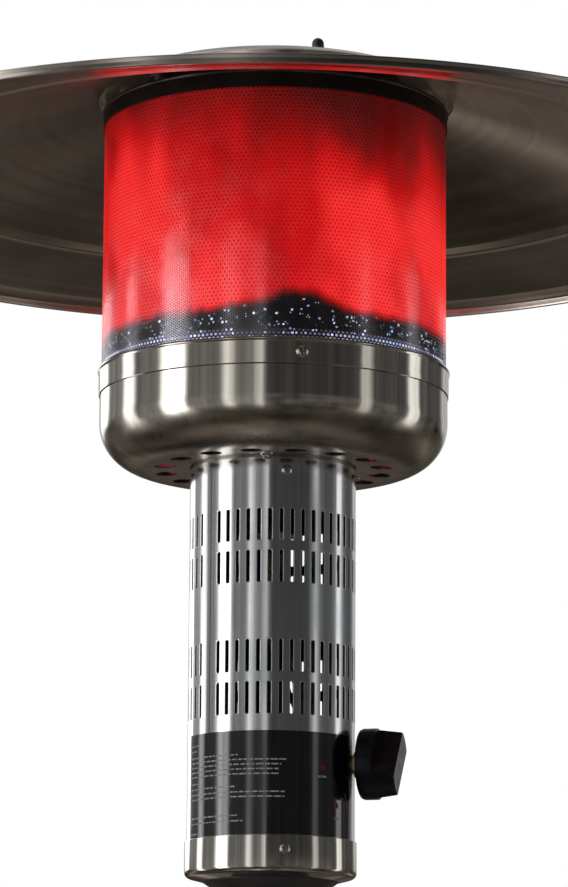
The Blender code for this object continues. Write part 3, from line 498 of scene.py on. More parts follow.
def add_object(name, mesh, look, replaces=(), body="frame", matrix=None):
    """A finished mesh put in place; the matrix's shift is in millimetres."""
    obj = bpy.data.objects.new(name, mesh)
    if matrix is not None:
        place = matrix.copy()
        place.translation *= MM
        obj.matrix_world = place
    if not mesh.materials:
        mesh.materials.append(LOOKS[look])
    attach(obj, replaces, body)


def smooth(mesh, sharp):
    mesh.shade_smooth()
    mesh.set_sharp_from_angle(angle=radians(sharp))
    return mesh


def mesh_from(name, bm, sharp=40.0):
    """A mesh in metres from a bmesh in millimetres."""
    bmesh.ops.remove_doubles(bm, verts=bm.verts, dist=1e-4)
    bmesh.ops.recalc_face_normals(bm, faces=bm.faces)
    mesh = bpy.data.meshes.new(name)
    bm.to_mesh(mesh)
    bm.free()
    mesh.transform(Matrix.Scale(MM, 4))
    return smooth(mesh, sharp)


def piece(name, bm, look, replaces=(), body="frame", matrix=None, sharp=30):
    add_object(name, mesh_from(name, bm, sharp), look, replaces, body, matrix)


def rounded(points, radius, steps=4, closed=True):
    """The outline with each corner turned into an arc; a corner's own radius may be its third number."""
    out = []
    count = len(points)
    for i, point in enumerate(points):
        here = Vector(point[:2])
        r = point[2] if len(point) > 2 else radius
        u, v = Vector(points[i - 1][:2]) - here, Vector(points[(i + 1) % count][:2]) - here
        along_u, along_v = u.normalized(), v.normalized()
        half = acos(max(-1.0, min(1.0, along_u.dot(along_v)))) / 2
        at_end = not closed and i in (0, count - 1)
        if at_end or r <= 0 or min(u.length, v.length) < 1e-9 or half > radians(88):
            out.append(tuple(here))
            continue
        reach = min(r / tan(half), 0.46 * u.length, 0.46 * v.length)
        for k in range(steps + 1):
            t = k / steps
            a, b = here + along_u * reach * (1 - t), here + along_v * reach * t
            out.append(tuple(a.lerp(b, t)))
    return out


def turned(profile, steps, closed=True):
    bm = bmesh.new()
    verts = [bm.verts.new((r, 0, z)) for r, z in profile]
    pairs = list(zip(verts, verts[1:]))
    if closed:
        pairs.append((verts[-1], verts[0]))
    edges = [bm.edges.new(pair) for pair in pairs]
    bmesh.ops.spin(bm, geom=verts + edges, cent=(0, 0, 0), axis=(0, 0, 1), angle=tau, steps=steps, use_merge=True)
    return bm


def lathe(name, points, corner, arc, steps, look, replaces=(), body="frame", matrix=None, lift=0.0, closed=True,
        sharp=40.0):
    """A turned piece: the outline with its corners rounded, raised by lift and spun round the Z axis."""
    outline = [(r, z + lift) for r, z in rounded(points, corner, arc, closed)]
    piece(name, turned(outline, steps, closed), look, replaces, body, matrix, sharp)


def spline(points, per=6):
    """A smooth line through the points (Catmull-Rom)."""
    points = [Vector(p) for p in points]
    ends = [2 * points[0] - points[1]] + points + [2 * points[-1] - points[-2]]
    route = [points[0]]
    for a, b, c, d in zip(ends, ends[1:], ends[2:], ends[3:]):
        for i in range(1, per + 1):
            t = i / per
            route.append(0.5 * (2 * b + (c - a) * t + (2 * a - 5 * b + 4 * c - d) * t * t
                + (3 * b - a - 3 * c + d) * t * t * t))
    return route


def tube(name, route, radius, look, replaces=()):
    curve = bpy.data.curves.new(name, "CURVE")
    curve.dimensions, curve.bevel_depth, curve.bevel_resolution = "3D", radius * MM, 5
    curve.use_fill_caps = True
    line = curve.splines.new("POLY")
    line.points.add(len(route) - 1)
    for point, at in zip(line.points, route):
        point.co = (*(at * MM), 1)
    line.use_smooth = True
    curve.materials.append(LOOKS[look])
    attach(bpy.data.objects.new(name, curve), replaces, "frame")


def apply_boolean(mesh, cutters):
    """The mesh with the cutters' shape taken away, evaluated at once."""
    base = bpy.data.objects.new("base", mesh)
    tool_mesh = bpy.data.meshes.new("tool")
    cutters.to_mesh(tool_mesh)
    cutters.free()
    tool_mesh.transform(Matrix.Scale(MM, 4))
    tool = bpy.data.objects.new("tool", tool_mesh)
    for o in (base, tool):
        link(o)
    modifier = base.modifiers.new("cut", "BOOLEAN")
    modifier.operation, modifier.object, modifier.solver = "DIFFERENCE", tool, "EXACT"
    done = bpy.data.meshes.new_from_object(base.evaluated_get(bpy.context.evaluated_depsgraph_get()))
    for o in (base, tool):
        bpy.data.objects.remove(o)
    done.name = mesh.name
    return done


def rod_bm(start, end, radius, sides):
    start, end = Vector(start), Vector(end)
    bm = bmesh.new()
    bmesh.ops.create_cone(bm, cap_ends=True, segments=sides, radius1=radius, radius2=radius,
        depth=(end - start).length)
    turn = aim(end - start)
    bmesh.ops.transform(bm, matrix=Matrix.Translation((start + end) / 2) @ turn, verts=bm.verts)
    return bm


def merged(*parts):
    whole = bmesh.new()
    for part in parts:
        mesh = bpy.data.meshes.new("part")
        part.to_mesh(mesh)
        part.free()
        whole.from_mesh(mesh)
        bpy.data.meshes.remove(mesh)
    return whole


def facing(angle, radius, z, spin=0.0):
    """A frame on the post's cylinder at this angle: its Z points out."""
    out = direction(angle)
    return Matrix.Translation(out * radius + Vector((0, 0, z))) @ aim(out) @ rotation(spin, "Z")


def box(size, matrix):
    bm = bmesh.new()
    bmesh.ops.create_cube(bm, size=1.0)
    bmesh.ops.scale(bm, vec=size, verts=bm.verts)
    bmesh.ops.transform(bm, matrix=matrix, verts=bm.verts)
    return bm


def screw_mesh(radius=4.7, height=2.4):
    """A pan-head screw with a cross recess."""
    head = [(0, height), (radius * 0.55, height * 0.97), (radius * 0.86, height * 0.72), (radius, height * 0.32),
        (radius, 0), (0, 0)]
    done = mesh_from("screw", turned(rounded(head, radius * 0.2, 3, closed=False), 40, closed=False))
    for angle in (0, 90):
        place = Matrix.Translation((0, 0, height)) @ rotation(angle, "Z")
        done = apply_boolean(done, box((radius * 1.15, radius * 0.22, height * 1.2), place))
    return smooth(done, 35)


def screws(name, mesh, count, angle, radius, z, spin, step, body="frame", replaced=None):
    """A ring of screws, the first at this angle and spin, each next one turned a step further."""
    for i in range(count):
        place = facing(angle + 360 / count * i, radius, z, spin + step * i)
        replaces = [f"{replaced}_{i + 1}"] if replaced else ()
        add_object(f"{name}_{i + 1}", mesh, "screw", replaces, body, place)


# ---------------------------------------------------------------- head


def build_reflector():
    r, t = REFLECTOR_R, EMITTER_TOP
    outer = [(0, CROWN_TOP), (97, CROWN_TOP, 10), (120, t + 20.2, 10), (131.4, t + 14.6, 5), (135.4, t + 8.1, 4),
        (285, t - 41.5, 5), (291, t - 46.4, 5), (298, t - 46.2, 7), (368, t - 64.6, 8), (r - 3, t - 66, 1),
        (r - 0.1, t - 66.4, 1.6), (r - 0.9, t - 69.6, 2), (r - 0.1, t - 73.2, 1.6), (r - 2.4, t - 73.3, 1)]
    under = [(r - 2.9, t - 71.6, 0.6), (r - 3.2, t - 67.6, 0.8), (368, t - 65.9, 8), (298, t - 47.5, 7),
        (290.6, t - 47.7, 5), (284.4, t - 42.7, 5), (134.6, t + 7.0, 4), (130.4, t + 13.6, 5), (119.6, t + 19.1, 10),
        (96.8, CROWN_TOP - 1.2, 10), (0, CROWN_TOP - 1.2)]
    lathe("reflector_dish", outer + under, 0, 6, 256, "reflector", ["reflector"], lift=HEAD_Z,
        closed=False, sharp=60)


def build_fixings():
    foot, seat = EMITTER_TOP + 0.3, CROWN_TOP - 1.5
    stud = rounded([(0, foot), (7, foot), (7, seat), (3, seat), (3, CROWN_TOP + 8), (0, CROWN_TOP + 8)], 0.6, 3,
        closed=False)
    top = CROWN_TOP + 13.5
    low = CROWN_TOP + 1.6
    for i, angle in enumerate(STUD_ANGLES, 1):
        spot = Matrix.Translation(around(angle, STUD_RING_R, HEAD_Z))
        lathe(f"stud_{i}", stud, 0, 1, 32, "steel", [f"reflector_stud_{i}"], matrix=spot, closed=False)
        nut = rod_bm((0, 0, low), (0, 0, low + 5), 5.5, 6)
        bmesh.ops.bevel(nut, geom=nut.edges[:], offset=0.5, segments=3, affect="EDGES")
        dome = [(4.5, low + 4.6)] + [(4.5 * cos(radians(a)), top - 4.5 + 4.5 * sin(radians(a)))
            for a in range(0, 90, 10)] + [(0, top)]
        washer = turned(rounded([(6.0, CROWN_TOP + 0.3), (6.0, low - 0.1), (3.3, low - 0.1), (3.3, CROWN_TOP + 0.3)],
            0.3, 2), 40)
        whole = merged(nut, turned(dome, 32, closed=False), washer)
        piece(f"cap_nut_{i}", whole, "scorched", [f"reflector_nut_{i}"], matrix=spot, sharp=35)


def perforated_half(name, first, replaces=()):
    """Half of the rolled screen: round holes in staggered rows, each in its own six-sided cell."""
    radius, low, high = EMITTER_R, HEAD_Z + EMITTER_LOW, HEAD_Z + EMITTER_TOP - 1.5
    pitch = tau * radius / SCREEN_COLUMNS
    rise = pitch / (2 * sqrt(3))
    rows = int((high - low) / (3 * rise))
    verts, faces, known = [], [], {}
    corners = [(0, 2), (-1, 1), (-1, -1), (0, -2), (1, -1), (1, 1)]

    def vertex(u, z):
        a = u / radius
        verts.append((radius * sin(a), -radius * cos(a), z))
        return len(verts) - 1

    for row in range(rows):
        for column in range(first, first + SCREEN_COLUMNS // 2):
            cx, cz = 2 * column + row % 2, 3 * row + 2
            outer, inner = [], []
            for i, j in corners:
                key = (cx + i, cz + j)
                if key not in known:
                    known[key] = vertex(key[0] * pitch / 2, low + key[1] * rise)
                outer.append(known[key])
                inner.append(vertex(cx * pitch / 2 + i * HOLE_R * 0.866, low + cz * rise + j * HOLE_R / 2))
            for k in range(6):
                n = (k + 1) % 6
                faces.append((outer[k], inner[k], inner[n], outer[n]))
    mesh = bpy.data.meshes.new(name)
    mesh.from_pydata(verts, [], faces)
    mesh.transform(Matrix.Scale(MM, 4))
    mesh.shade_smooth()
    first_face = mesh.polygons[0]
    if first_face.normal.dot(Vector((*first_face.center.xy, 0))) < 0:
        mesh.flip_normals()
    add_object(name, mesh, "hot", replaces)


def build_emitter():
    start = -SCREEN_COLUMNS // 4
    perforated_half("screen_front", start, ["emitter_screen"])
    perforated_half("screen_back", start + SCREEN_COLUMNS // 2)
    liner = [(EMITTER_R - 2, EMITTER_LOW + 1), (EMITTER_R - 2, EMITTER_TOP - 2), (EMITTER_R - 2.6, EMITTER_TOP - 2),
        (EMITTER_R - 2.6, EMITTER_LOW + 1)]
    lathe("screen_fire", liner, 0, 1, FINE, "liner", lift=HEAD_Z)
    inner, outer, t = EMITTER_R + 0.4, EMITTER_R + 1.1, EMITTER_TOP
    lid = [(0, t), (outer, t, 2), (outer, t - LID_SKIRT), (inner, t - LID_SKIRT), (inner, t - 1, 1), (0, t - 1)]
    lathe("emitter_lid_cap", lid, 0.3, 4, FINE, "lid", ["emitter_lid"], lift=HEAD_Z, closed=False)
    bead = [(outer - 0.5, t - 3.1), (outer + 0.5, t - 2.6), (outer + 0.9, t - 1.4), (outer + 0.5, t - 0.2),
        (outer - 0.5, t + 0.2)]
    lathe("emitter_lid_bead", bead, 0.4, 3, FINE, "scorched", lift=HEAD_Z)


def build_bowl(screw):
    r, b, c = BOWL_R, BOWL_BOTTOM, BOWL_CORNER
    neck, wall = HOUSING_R - 1.3, 0.8

    def corner(radius, angles):
        return [(r - c + radius * cos(radians(a)), b + c + radius * sin(radians(a))) for a in angles]

    floor_dip = [(r - c - 14, b + 0.6), (r - c - 6, b + 0.3)]
    profile = ([(neck, b - 15), (neck, b + 1.2)] + floor_dip + corner(c, range(-90, 1, 6))
        + [(r, BOWL_TOP), (r - wall, BOWL_TOP)] + corner(c - wall, range(0, -91, -6))
        + [(neck + 4, b + 2.2), (neck - wall, b + 2.2), (neck - wall, b - 15)])
    mesh = mesh_from("bowl_shell", turned([(x, z + HEAD_Z) for x, z in profile], FINE), 40)
    holes = []
    for i in range(VENT_COUNT):
        ends = [around(360 * (i + 0.5) / VENT_COUNT, VENT_RING_R, HEAD_Z + b + z) for z in (-8, 8)]
        holes.append(rod_bm(*ends, VENT_R, 32))
    add_object("bowl_shell", smooth(apply_boolean(mesh, merged(*holes)), 40), "belly", ["burner_bowl"])

    inner_r, r, top, low = BOWL_R + 0.3, RING_R, RING_TOP, RING_BOTTOM
    ring = [(r + 0.3, top, 0.4), (r + 0.7, top - 1.4, 0.9), (r - 0.1, top - 3, 1.4), (r - 0.2, low + 6, 20),
        (r - 0.3, low + 0.8, 0.6), (r - 0.8, low), (inner_r, low), (inner_r, top, 0.2)]
    lathe("bowl_ring", ring, 0.1, 4, FINE, "bowl", ["burner_ring"], lift=HEAD_Z)
    z = HEAD_Z + (top + low) / 2 - 0.7
    screws("ring_screw_head", screw, 3, 9.0, r + 0.05, z, 10, 20, replaced="ring_screw")
    v = VENT_RING_R
    glow = [(v - 9, b + 7), (v + 9, b + 7), (v + 9, b + 7.6), (v - 9, b + 7.6)]
    lathe("vent_glow", glow, 0, 1, 96, "painted_burner_light", lift=HEAD_Z)
    down = Matrix.Rotation(pi, 4, "X")
    for i in range(3):
        spot = around(-4.0 + 120.0 * i, 68.5, HEAD_Z + b + 1.1)
        add_object(f"bowl_screw_{i + 1}", screw, "screw", matrix=Matrix.Translation(spot) @ down)


def slotted_tube(name):
    """The housing's wall: rounded slots in four rows, a plain strip at the seam, true round normals."""
    radius, inner_r = HOUSING_R, HOUSING_R - SHEET
    gap = 360 - SLOT_PITCH * (SLOT_COUNT - 1)
    first = SEAM_ANGLE + gap / 2
    verts, faces, kinds, known = [], [], [], {}

    def vertex(angle, z, side):
        key = (round(angle % 360, 4), round(z * 1e3), side)
        if key not in known:
            known[key] = len(verts)
            depth = {"out": radius, "rolled": radius - 0.3, "in": inner_r}[side]
            verts.append(around(angle, depth, HEAD_Z + z))
        return known[key]

    def quad(corners, side):
        ids = [vertex(a, z, side) for a, z in corners]
        faces.append(ids if side == "out" else ids[::-1])
        kinds.append(side)

    cell = SLOT_H / 2 + 1.6
    levels = [HOUSING_LOW] + [z + side for z in SLOT_ROWS for side in (-cell, cell)] + [HOUSING_TOP]
    edges = [first - SLOT_PITCH / 2 + SLOT_PITCH * k / 4 for k in range(4 * SLOT_COUNT + 1)]
    rest = 360 - SLOT_PITCH * SLOT_COUNT
    tail = [edges[-1] + rest * k / 8 for k in range(1, 9)]
    bands = [(levels[k], levels[k + 1]) for k in range(0, len(levels), 2)]
    columns = edges + tail
    w, h, p, c, lip = SLOT_W / 2, SLOT_H / 2, SLOT_PITCH / 2, 0.7, 0.5
    degree = degrees(1 / radius)
    for side in ("out", "in"):
        for a, b in zip(columns, columns[1:]):
            solid = bands if b <= edges[-1] + 1e-6 else [(levels[k], levels[k + 1]) for k in range(len(levels) - 1)]
            for low, high in solid:
                cuts = max(1, round((high - low) / 14))
                for k in range(cuts):
                    z0, z1 = low + (high - low) * k / cuts, low + (high - low) * (k + 1) / cuts
                    quad([(a, z0), (b, z0), (b, z1), (a, z1)], side)
    ring = [((w, c - h), (p, -cell)), ((w, 0), (p, 0)), ((w, h - c), (p, cell)), ((w - c, h), (p / 2, cell)),
        ((0, h), (0, cell)), ((c - w, h), (-p / 2, cell)), ((-w, h - c), (-p, cell)), ((-w, 0), (-p, 0)),
        ((-w, c - h), (-p, -cell)), ((c - w, -h), (-p / 2, -cell)), ((0, -h), (0, -cell)),
        ((w - c, -h), (p / 2, -cell))]
    for i in range(SLOT_COUNT):
        middle = first + SLOT_PITCH * i
        for z in SLOT_ROWS:
            hole = [(middle + x * degree, z + y) for (x, y), _ in ring]
            rolled = [(middle + (x + copysign(lip, x) * (x != 0)) * degree, z + y + copysign(lip, y) * (y != 0))
                for (x, y), _ in ring]
            rim = [(middle + x, z + y) for _, (x, y) in ring]
            for k in range(12):
                n = (k + 1) % 12
                quad([rolled[k], rim[k], rim[n], rolled[n]], "out")
                quad([hole[k], rim[k], rim[n], hole[n]], "in")
                faces.append([vertex(*hole[k], "rolled"), vertex(*rolled[k], "out"), vertex(*rolled[n], "out"),
                    vertex(*hole[n], "rolled")])
                kinds.append("rolled")
                faces.append([vertex(*hole[k], "rolled"), vertex(*hole[n], "rolled"), vertex(*hole[n], "in"),
                    vertex(*hole[k], "in")])
                kinds.append("edge")
    for a, b in zip(columns, columns[1:]):
        for z, up in ((HOUSING_LOW, False), (HOUSING_TOP, True)):
            ids = [vertex(a, z, "out"), vertex(b, z, "out"), vertex(b, z, "in"), vertex(a, z, "in")]
            faces.append(ids if up else ids[::-1])
            kinds.append("edge")
    mesh = bpy.data.meshes.new(name)
    mesh.from_pydata(verts, [], faces)
    mesh.transform(Matrix.Scale(MM, 4))
    mesh.shade_smooth()
    normals = []
    for polygon, kind in zip(mesh.polygons, kinds):
        for index in polygon.vertices:
            flat = Vector((*mesh.vertices[index].co.xy, 0))
            outermost = flat.length > (radius - 0.1) * MM
            flat.normalize()
            if kind == "rolled" and outermost:
                normals.append(flat)
            else:
                normals.append(flat if kind == "out" else -flat if kind == "in" else polygon.normal.copy())
    mesh.normals_split_custom_set(normals)
    mesh.materials.append(LOOKS["housing"])
    mesh.materials.append(LOOKS["inside"])
    # painted shade: the inner faces and slot walls take the near-black inside material
    for polygon, kind in zip(mesh.polygons, kinds):
        polygon.material_index = 1 if kind in ("in", "edge") else 0
    add_object(name, mesh, None, ["control_housing"])


def curved_patch(angle_from, angle_to, low, high, inner, outer, steps):
    """A bmesh of a thin curved plate on the post's cylinder."""
    bm = bmesh.new()
    rows = []
    for i in range(steps + 1):
        angle = angle_from + (angle_to - angle_from) * i / steps
        corners = (inner, low), (outer, low), (outer, high), (inner, high)
        rows.append([bm.verts.new(around(angle, r, z)) for r, z in corners])
    for a, b in zip(rows, rows[1:]):
        for k in range(4):
            bm.faces.new([a[k], b[k], b[(k + 1) % 4], a[(k + 1) % 4]])
    bm.faces.new(rows[0])
    bm.faces.new(rows[-1])
    return bm


def build_housing(screw):
    slotted_tube("housing_tube")
    low, high = HEAD_Z + COLLAR_H, HEAD_Z + HOUSING_TOP - 0.4
    seam = curved_patch(SEAM_ANGLE - 1.2, SEAM_ANGLE + 1.6, low, high, HOUSING_R - 0.2, HOUSING_R + 0.45, 4)
    piece("housing_seam", seam, "housing")
    small = screw.copy()
    small.transform(Matrix.Scale(0.85, 4))
    screws("housing_screw", small, 3, 9.5, HOUSING_R - 0.1, HEAD_Z + HOUSING_TOP - 9.5, 0, 25)
    screws("collar_screw", small, 3, 9.5, HOUSING_R + 1.4, HEAD_Z + 10.8, 12, 40)
    inner, hole = HOUSING_R + 0.3, 50
    collar = [(inner, -0.6), (inner, COLLAR_H, 0.2), (inner + 1.1, COLLAR_H, 0.4), (inner + 1.2, 8, 10),
        (inner + 1.2, -4.6, 5), (hole, -8, 0.5), (hole, -6.8, 0.3), (inner - 1.6, -4, 3)]
    lathe("collar_band", collar, 0.1, 7, FINE, "bowl", ["bottom_collar"], lift=HEAD_Z)
    rim, neck = hole - 0.4, POST_R + 0.4
    cone = [(rim, -5.8), (rim, -8.6, 1.5), (neck + 8, -16, 8), (neck + 2, -23, 6), (neck + 2, -NECK_DROP, 0.5),
        (neck, -NECK_DROP), (neck, -14)]
    lathe("post_cone_cup", cone, 0.1, 5, 96, "black_paint", ["post_cone"], lift=HEAD_Z)


def build_inner_shade_sheet():
    """A dark sheet inside the back of the housing, in overlapping strips: painted shade behind the slots, with gaps
    where light still shows through.
    """
    strips = []
    for k, (first, last) in enumerate(((100, 122), (126, 138), (142, 153), (157, 164), (168, 206), (207, 250))):
        low, high = HEAD_Z + 100 + 3 * (k % 3), HEAD_Z + 268 - 4 * (k % 2)
        strips.append(curved_patch(first, last, low, high, 57.4, 58.2, 8))
    # painted shade: a dark sheet standing for the shade seen through the slots
    piece("inner_shade_sheet", merged(*strips), "inside")


def build_label():
    """A glossy film with rows of short bars where print would be, and dial marks by the knob."""
    low = HEAD_Z + COLLAR_H + 0.3
    face = HOUSING_R + 0.62
    raised = face - 0.05, face + 0.06
    film = curved_patch(LABEL_FROM, LABEL_TO, low, low + LABEL_H, HOUSING_R + 0.3, face, 64)
    piece("label_sheet", film, "label", ["control_label"])

    rng = random.Random(7)
    bars, degree = [], degrees(1 / face)
    lines = [(8.5, -58), (12.5, -61), (17.5, -24), (21, 9), (24.5, 6), (28, 4), (31.5, 4), (36.5, -59), (40.5, -24),
        (44.5, 10), (48, 8), (61.5, -24), (65.5, -20), (73.0, -58)]
    for drop, end in lines:
        z = low + LABEL_H - drop
        at = -67.5
        while at < end:
            width = rng.uniform(2.0, 6.5)
            bars.append(curved_patch(at, min(at + width, end + 1), z - 0.5, z + 0.5, *raised, 2))
            at += width + 1.08 * degree
    for angle, z, width, tall in ((36.5, KNOB_Z - 13, 7.0, 1.5), (50.0, KNOB_Z - 42.5, 5.0, 1.5)):
        for k in range(4):
            a = angle + (k - 1.5) * width / 4
            bars.append(curved_patch(a - width * 0.09, a + width * 0.09, HEAD_Z + z - tall / 2, HEAD_Z + z + tall / 2,
                *raised, 1))
    piece("label_bars", merged(*bars), "print")
    dots = []
    for angle, z, size in ((37.0, KNOB_Z - 6.5, 2.2), (49.0, KNOB_Z - 33, 2.6)):
        at = around(angle, face - 0.05, HEAD_Z + z)
        dots.append(rod_bm(at, at + direction(angle) * 0.12, size, 20))
    for k in range(9):
        angle, z = 58.0 + 0.8 * sin(k * 0.4), KNOB_Z - 24 - k * 1.6
        start = angle + k * 0.35
        dots.append(curved_patch(start, start + 1.0 + 0.3 * (8 - k), HEAD_Z + z, HEAD_Z + z + 0.9, *raised, 1))
    piece("dial_marks", merged(*dots), "mark")


def build_controls():
    matrix = facing(KNOB_ANGLE, 0.0, HEAD_Z + KNOB_Z)
    back, rim, top = KNOB_BACK, KNOB_BACK + KNOB_SKIRT_H, KNOB_BACK + KNOB_H
    skirt = [(3.2, 80.3), (3.2, back + 2), (12, back + 2), (12, back, 0.5), (KNOB_R - 1, back, 1.4),
        (KNOB_R, back + 2.4, 1.4), (KNOB_R, rim, 0.7), (0, rim), (0, 80.3)]
    bodies = [turned(rounded(skirt, 0.1, 5, closed=False), 128)]
    bm = bmesh.new()

    def outline(radius, width, z):
        span = asin(width / radius)
        end = [(radius * sin(span * k / 6), radius * cos(span * k / 6)) for k in range(6, -7, -1)]
        return [bm.verts.new((x, y, z)) for x, y in end + [(-x, -y) for x, y in end]]

    loops = [outline(KNOB_R - 0.3, 14.4, rim - 0.4), outline(KNOB_R - 0.7, 10, top)]
    count = len(loops[0])
    for i in range(count):
        n = (i + 1) % count
        bm.faces.new([loops[0][i], loops[0][n], loops[1][n], loops[1][i]])
    bm.faces.new(loops[0][::-1])
    bm.faces.new(loops[1])
    crisp = [e for e in bm.edges if all(v in loops[1] for v in e.verts)]
    corners = [e for e in bm.edges if any(e.verts[0] is loops[0][k] and e.verts[1] is loops[1][k]
        or e.verts[1] is loops[0][k] and e.verts[0] is loops[1][k] for k in (0, 12, 13, 25))]
    bmesh.ops.bevel(bm, geom=crisp + corners, offset=0.6, segments=3, affect="EDGES")
    bmesh.ops.transform(bm, matrix=rotation(GRIP_TURN, "Z"), verts=bm.verts)
    bodies.append(bm)
    piece("knob_shell", merged(*bodies), "black", ["control_knob"], body="knob", matrix=matrix, sharp=32)
    line = box((1.2, 11, 0.3), rotation(GRIP_TURN, "Z") @ Matrix.Translation((0, 13.5, top)))
    piece("knob_pointer", line, "print", body="knob", matrix=matrix)
    lathe("valve_stem_shaft", [(0, 80), (3, 80), (3, 38), (0, 38)], 0.4, 3, 40, "brass", ["valve_stem"],
        body="knob", matrix=matrix, closed=False)
    face = HOUSING_R
    nut = rod_bm((0, 0, face + 1.3), (0, 0, face + 4.4), 10.2, 6)
    bmesh.ops.bevel(nut, geom=nut.edges[:], offset=0.6, segments=2, affect="EDGES")
    collar = turned(rounded([(6.6, face - 3), (6.6, face + 5.6), (3.9, face + 5.6), (3.9, face - 3)], 0.4, 3), 48)
    piece("bushing_nut", merged(nut, collar), "brass", ["valve_bushing"], matrix=matrix, sharp=35)


# ---------------------------------------------------------------- post, cover, base


def build_post():
    lathe("post_tube", [(POST_R, POST_FOOT), (POST_R, HEAD_Z + 10), (POST_R - 1.8, HEAD_Z + 10),
        (POST_R - 1.8, POST_FOOT)], 0.3, 2, 96, "post", ["post"])
    bore = POST_R + 0.3
    socket = [(bore, 735), (bore, POST_FOOT - 0.4), (22, POST_FOOT - 0.4), (22, 640), (bore + 3, 640, 2),
        (bore + 3, 735, 1)]
    lathe("post_socket_tube", socket, 0.2, 3, 96, "black_paint", ["post_socket"])
    ring_r = 178
    hub = bore + 3.3
    for i in range(3):
        angle = 60.0 + 120.0 * i
        route = [around(angle, ring_r, 8.3), around(angle, ring_r, 300), around(angle, ring_r, 520),
            around(angle, ring_r - 18, 600), around(angle, ring_r - 75, 660), around(angle, hub + 16, 690),
            around(angle, hub + 2.4, 692.5)]
        tube(f"leg_{i + 1}", spline(route, 8), 9.5, "black_paint", [f"post_leg_{i + 1}"])
        foot = turned(rounded([(9.6, 8.3), (9.6, 14), (12, 12), (20, 11.4), (20, 8.3)], 0.5, 3), 48)
        piece(f"leg_foot_{i + 1}", foot, "black_paint", matrix=Matrix.Translation(around(angle, ring_r, 0)),
            sharp=35)


def build_base(screw):
    r = BASE_R
    plate = [(0, 8), (r, 8, 3), (r, 0, 1.5), (0, 0)]
    lathe("base_disc", plate, 0, 4, FINE, "black_paint", ["base_plate"], closed=False)
    seat = COVER_R + 6
    shell = [(r - 5, 8.3), (r - 5, 27, 9), (seat + 3, SHELL_TOP, 6), (COVER_R - 6, SHELL_TOP),
        (COVER_R - 6, SHELL_TOP - 1.2), (seat + 2, SHELL_TOP - 1.2, 5), (r - 6.4, 26, 8), (r - 6.4, 8.3)]
    lathe("base_ring", shell, 0.2, 6, FINE, "shell", ["base_shell"])
    screws("base_screw", screw, 4, 25.0, r - 5.1, 17, 0, 30)


def build_cover(screw):
    r, t, low = COVER_R, COVER_TOP, SHELL_TOP + 0.3
    drum = [(r, t), (r, low + 4.4, 1.5), (r + 2, low + 1.6, 1), (r + 2, low, 0.6), (r - 1, low), (r - 1, t)]
    lathe("cover_drum", drum, 0.2, 4, FINE, "shell", ["tank_cover"], body="cover")
    eye = POST_R + 9
    lid = [(r + 1.3, t - 14, 0.4), (r + 1.3, t + 4, 5), (eye + 24, t + 25, 30), (eye, t + 30, 1), (eye, t + 28.8),
        (eye + 24, t + 23.8, 30), (r + 0.3, t + 3, 4), (r + 0.3, t - 14, 0.2)]
    lathe("cover_top", lid, 0.2, 6, FINE, "shell", ["cover_lid"], body="cover")
    z = t + 29
    inner = POST_R + 0.7
    grommet = [(inner, z + 10, 1.5), (eye - 3, z + 10, 2.5), (eye + 1, z + 5, 2), (eye + 5, z + 4, 1),
        (eye + 5, z + 1.5), (eye - 0.3, z + 1.5), (eye - 0.3, z - 6, 1), (inner, z - 6, 1)]
    lathe("cover_bush", grommet, 0.3, 4, 96, "rubber", ["cover_grommet"], body="cover")
    seam = curved_patch(176, 184, low + 6, t - 14, r - 0.2, r + 0.7, 8)
    piece("cover_seam", seam, "shell", body="cover")
    small = screw.copy()
    small.transform(Matrix.Scale(0.8, 4))
    screws("cover_screw", small, 4, 45.0, r + 1.2, t - 7, 0, 15, "cover")


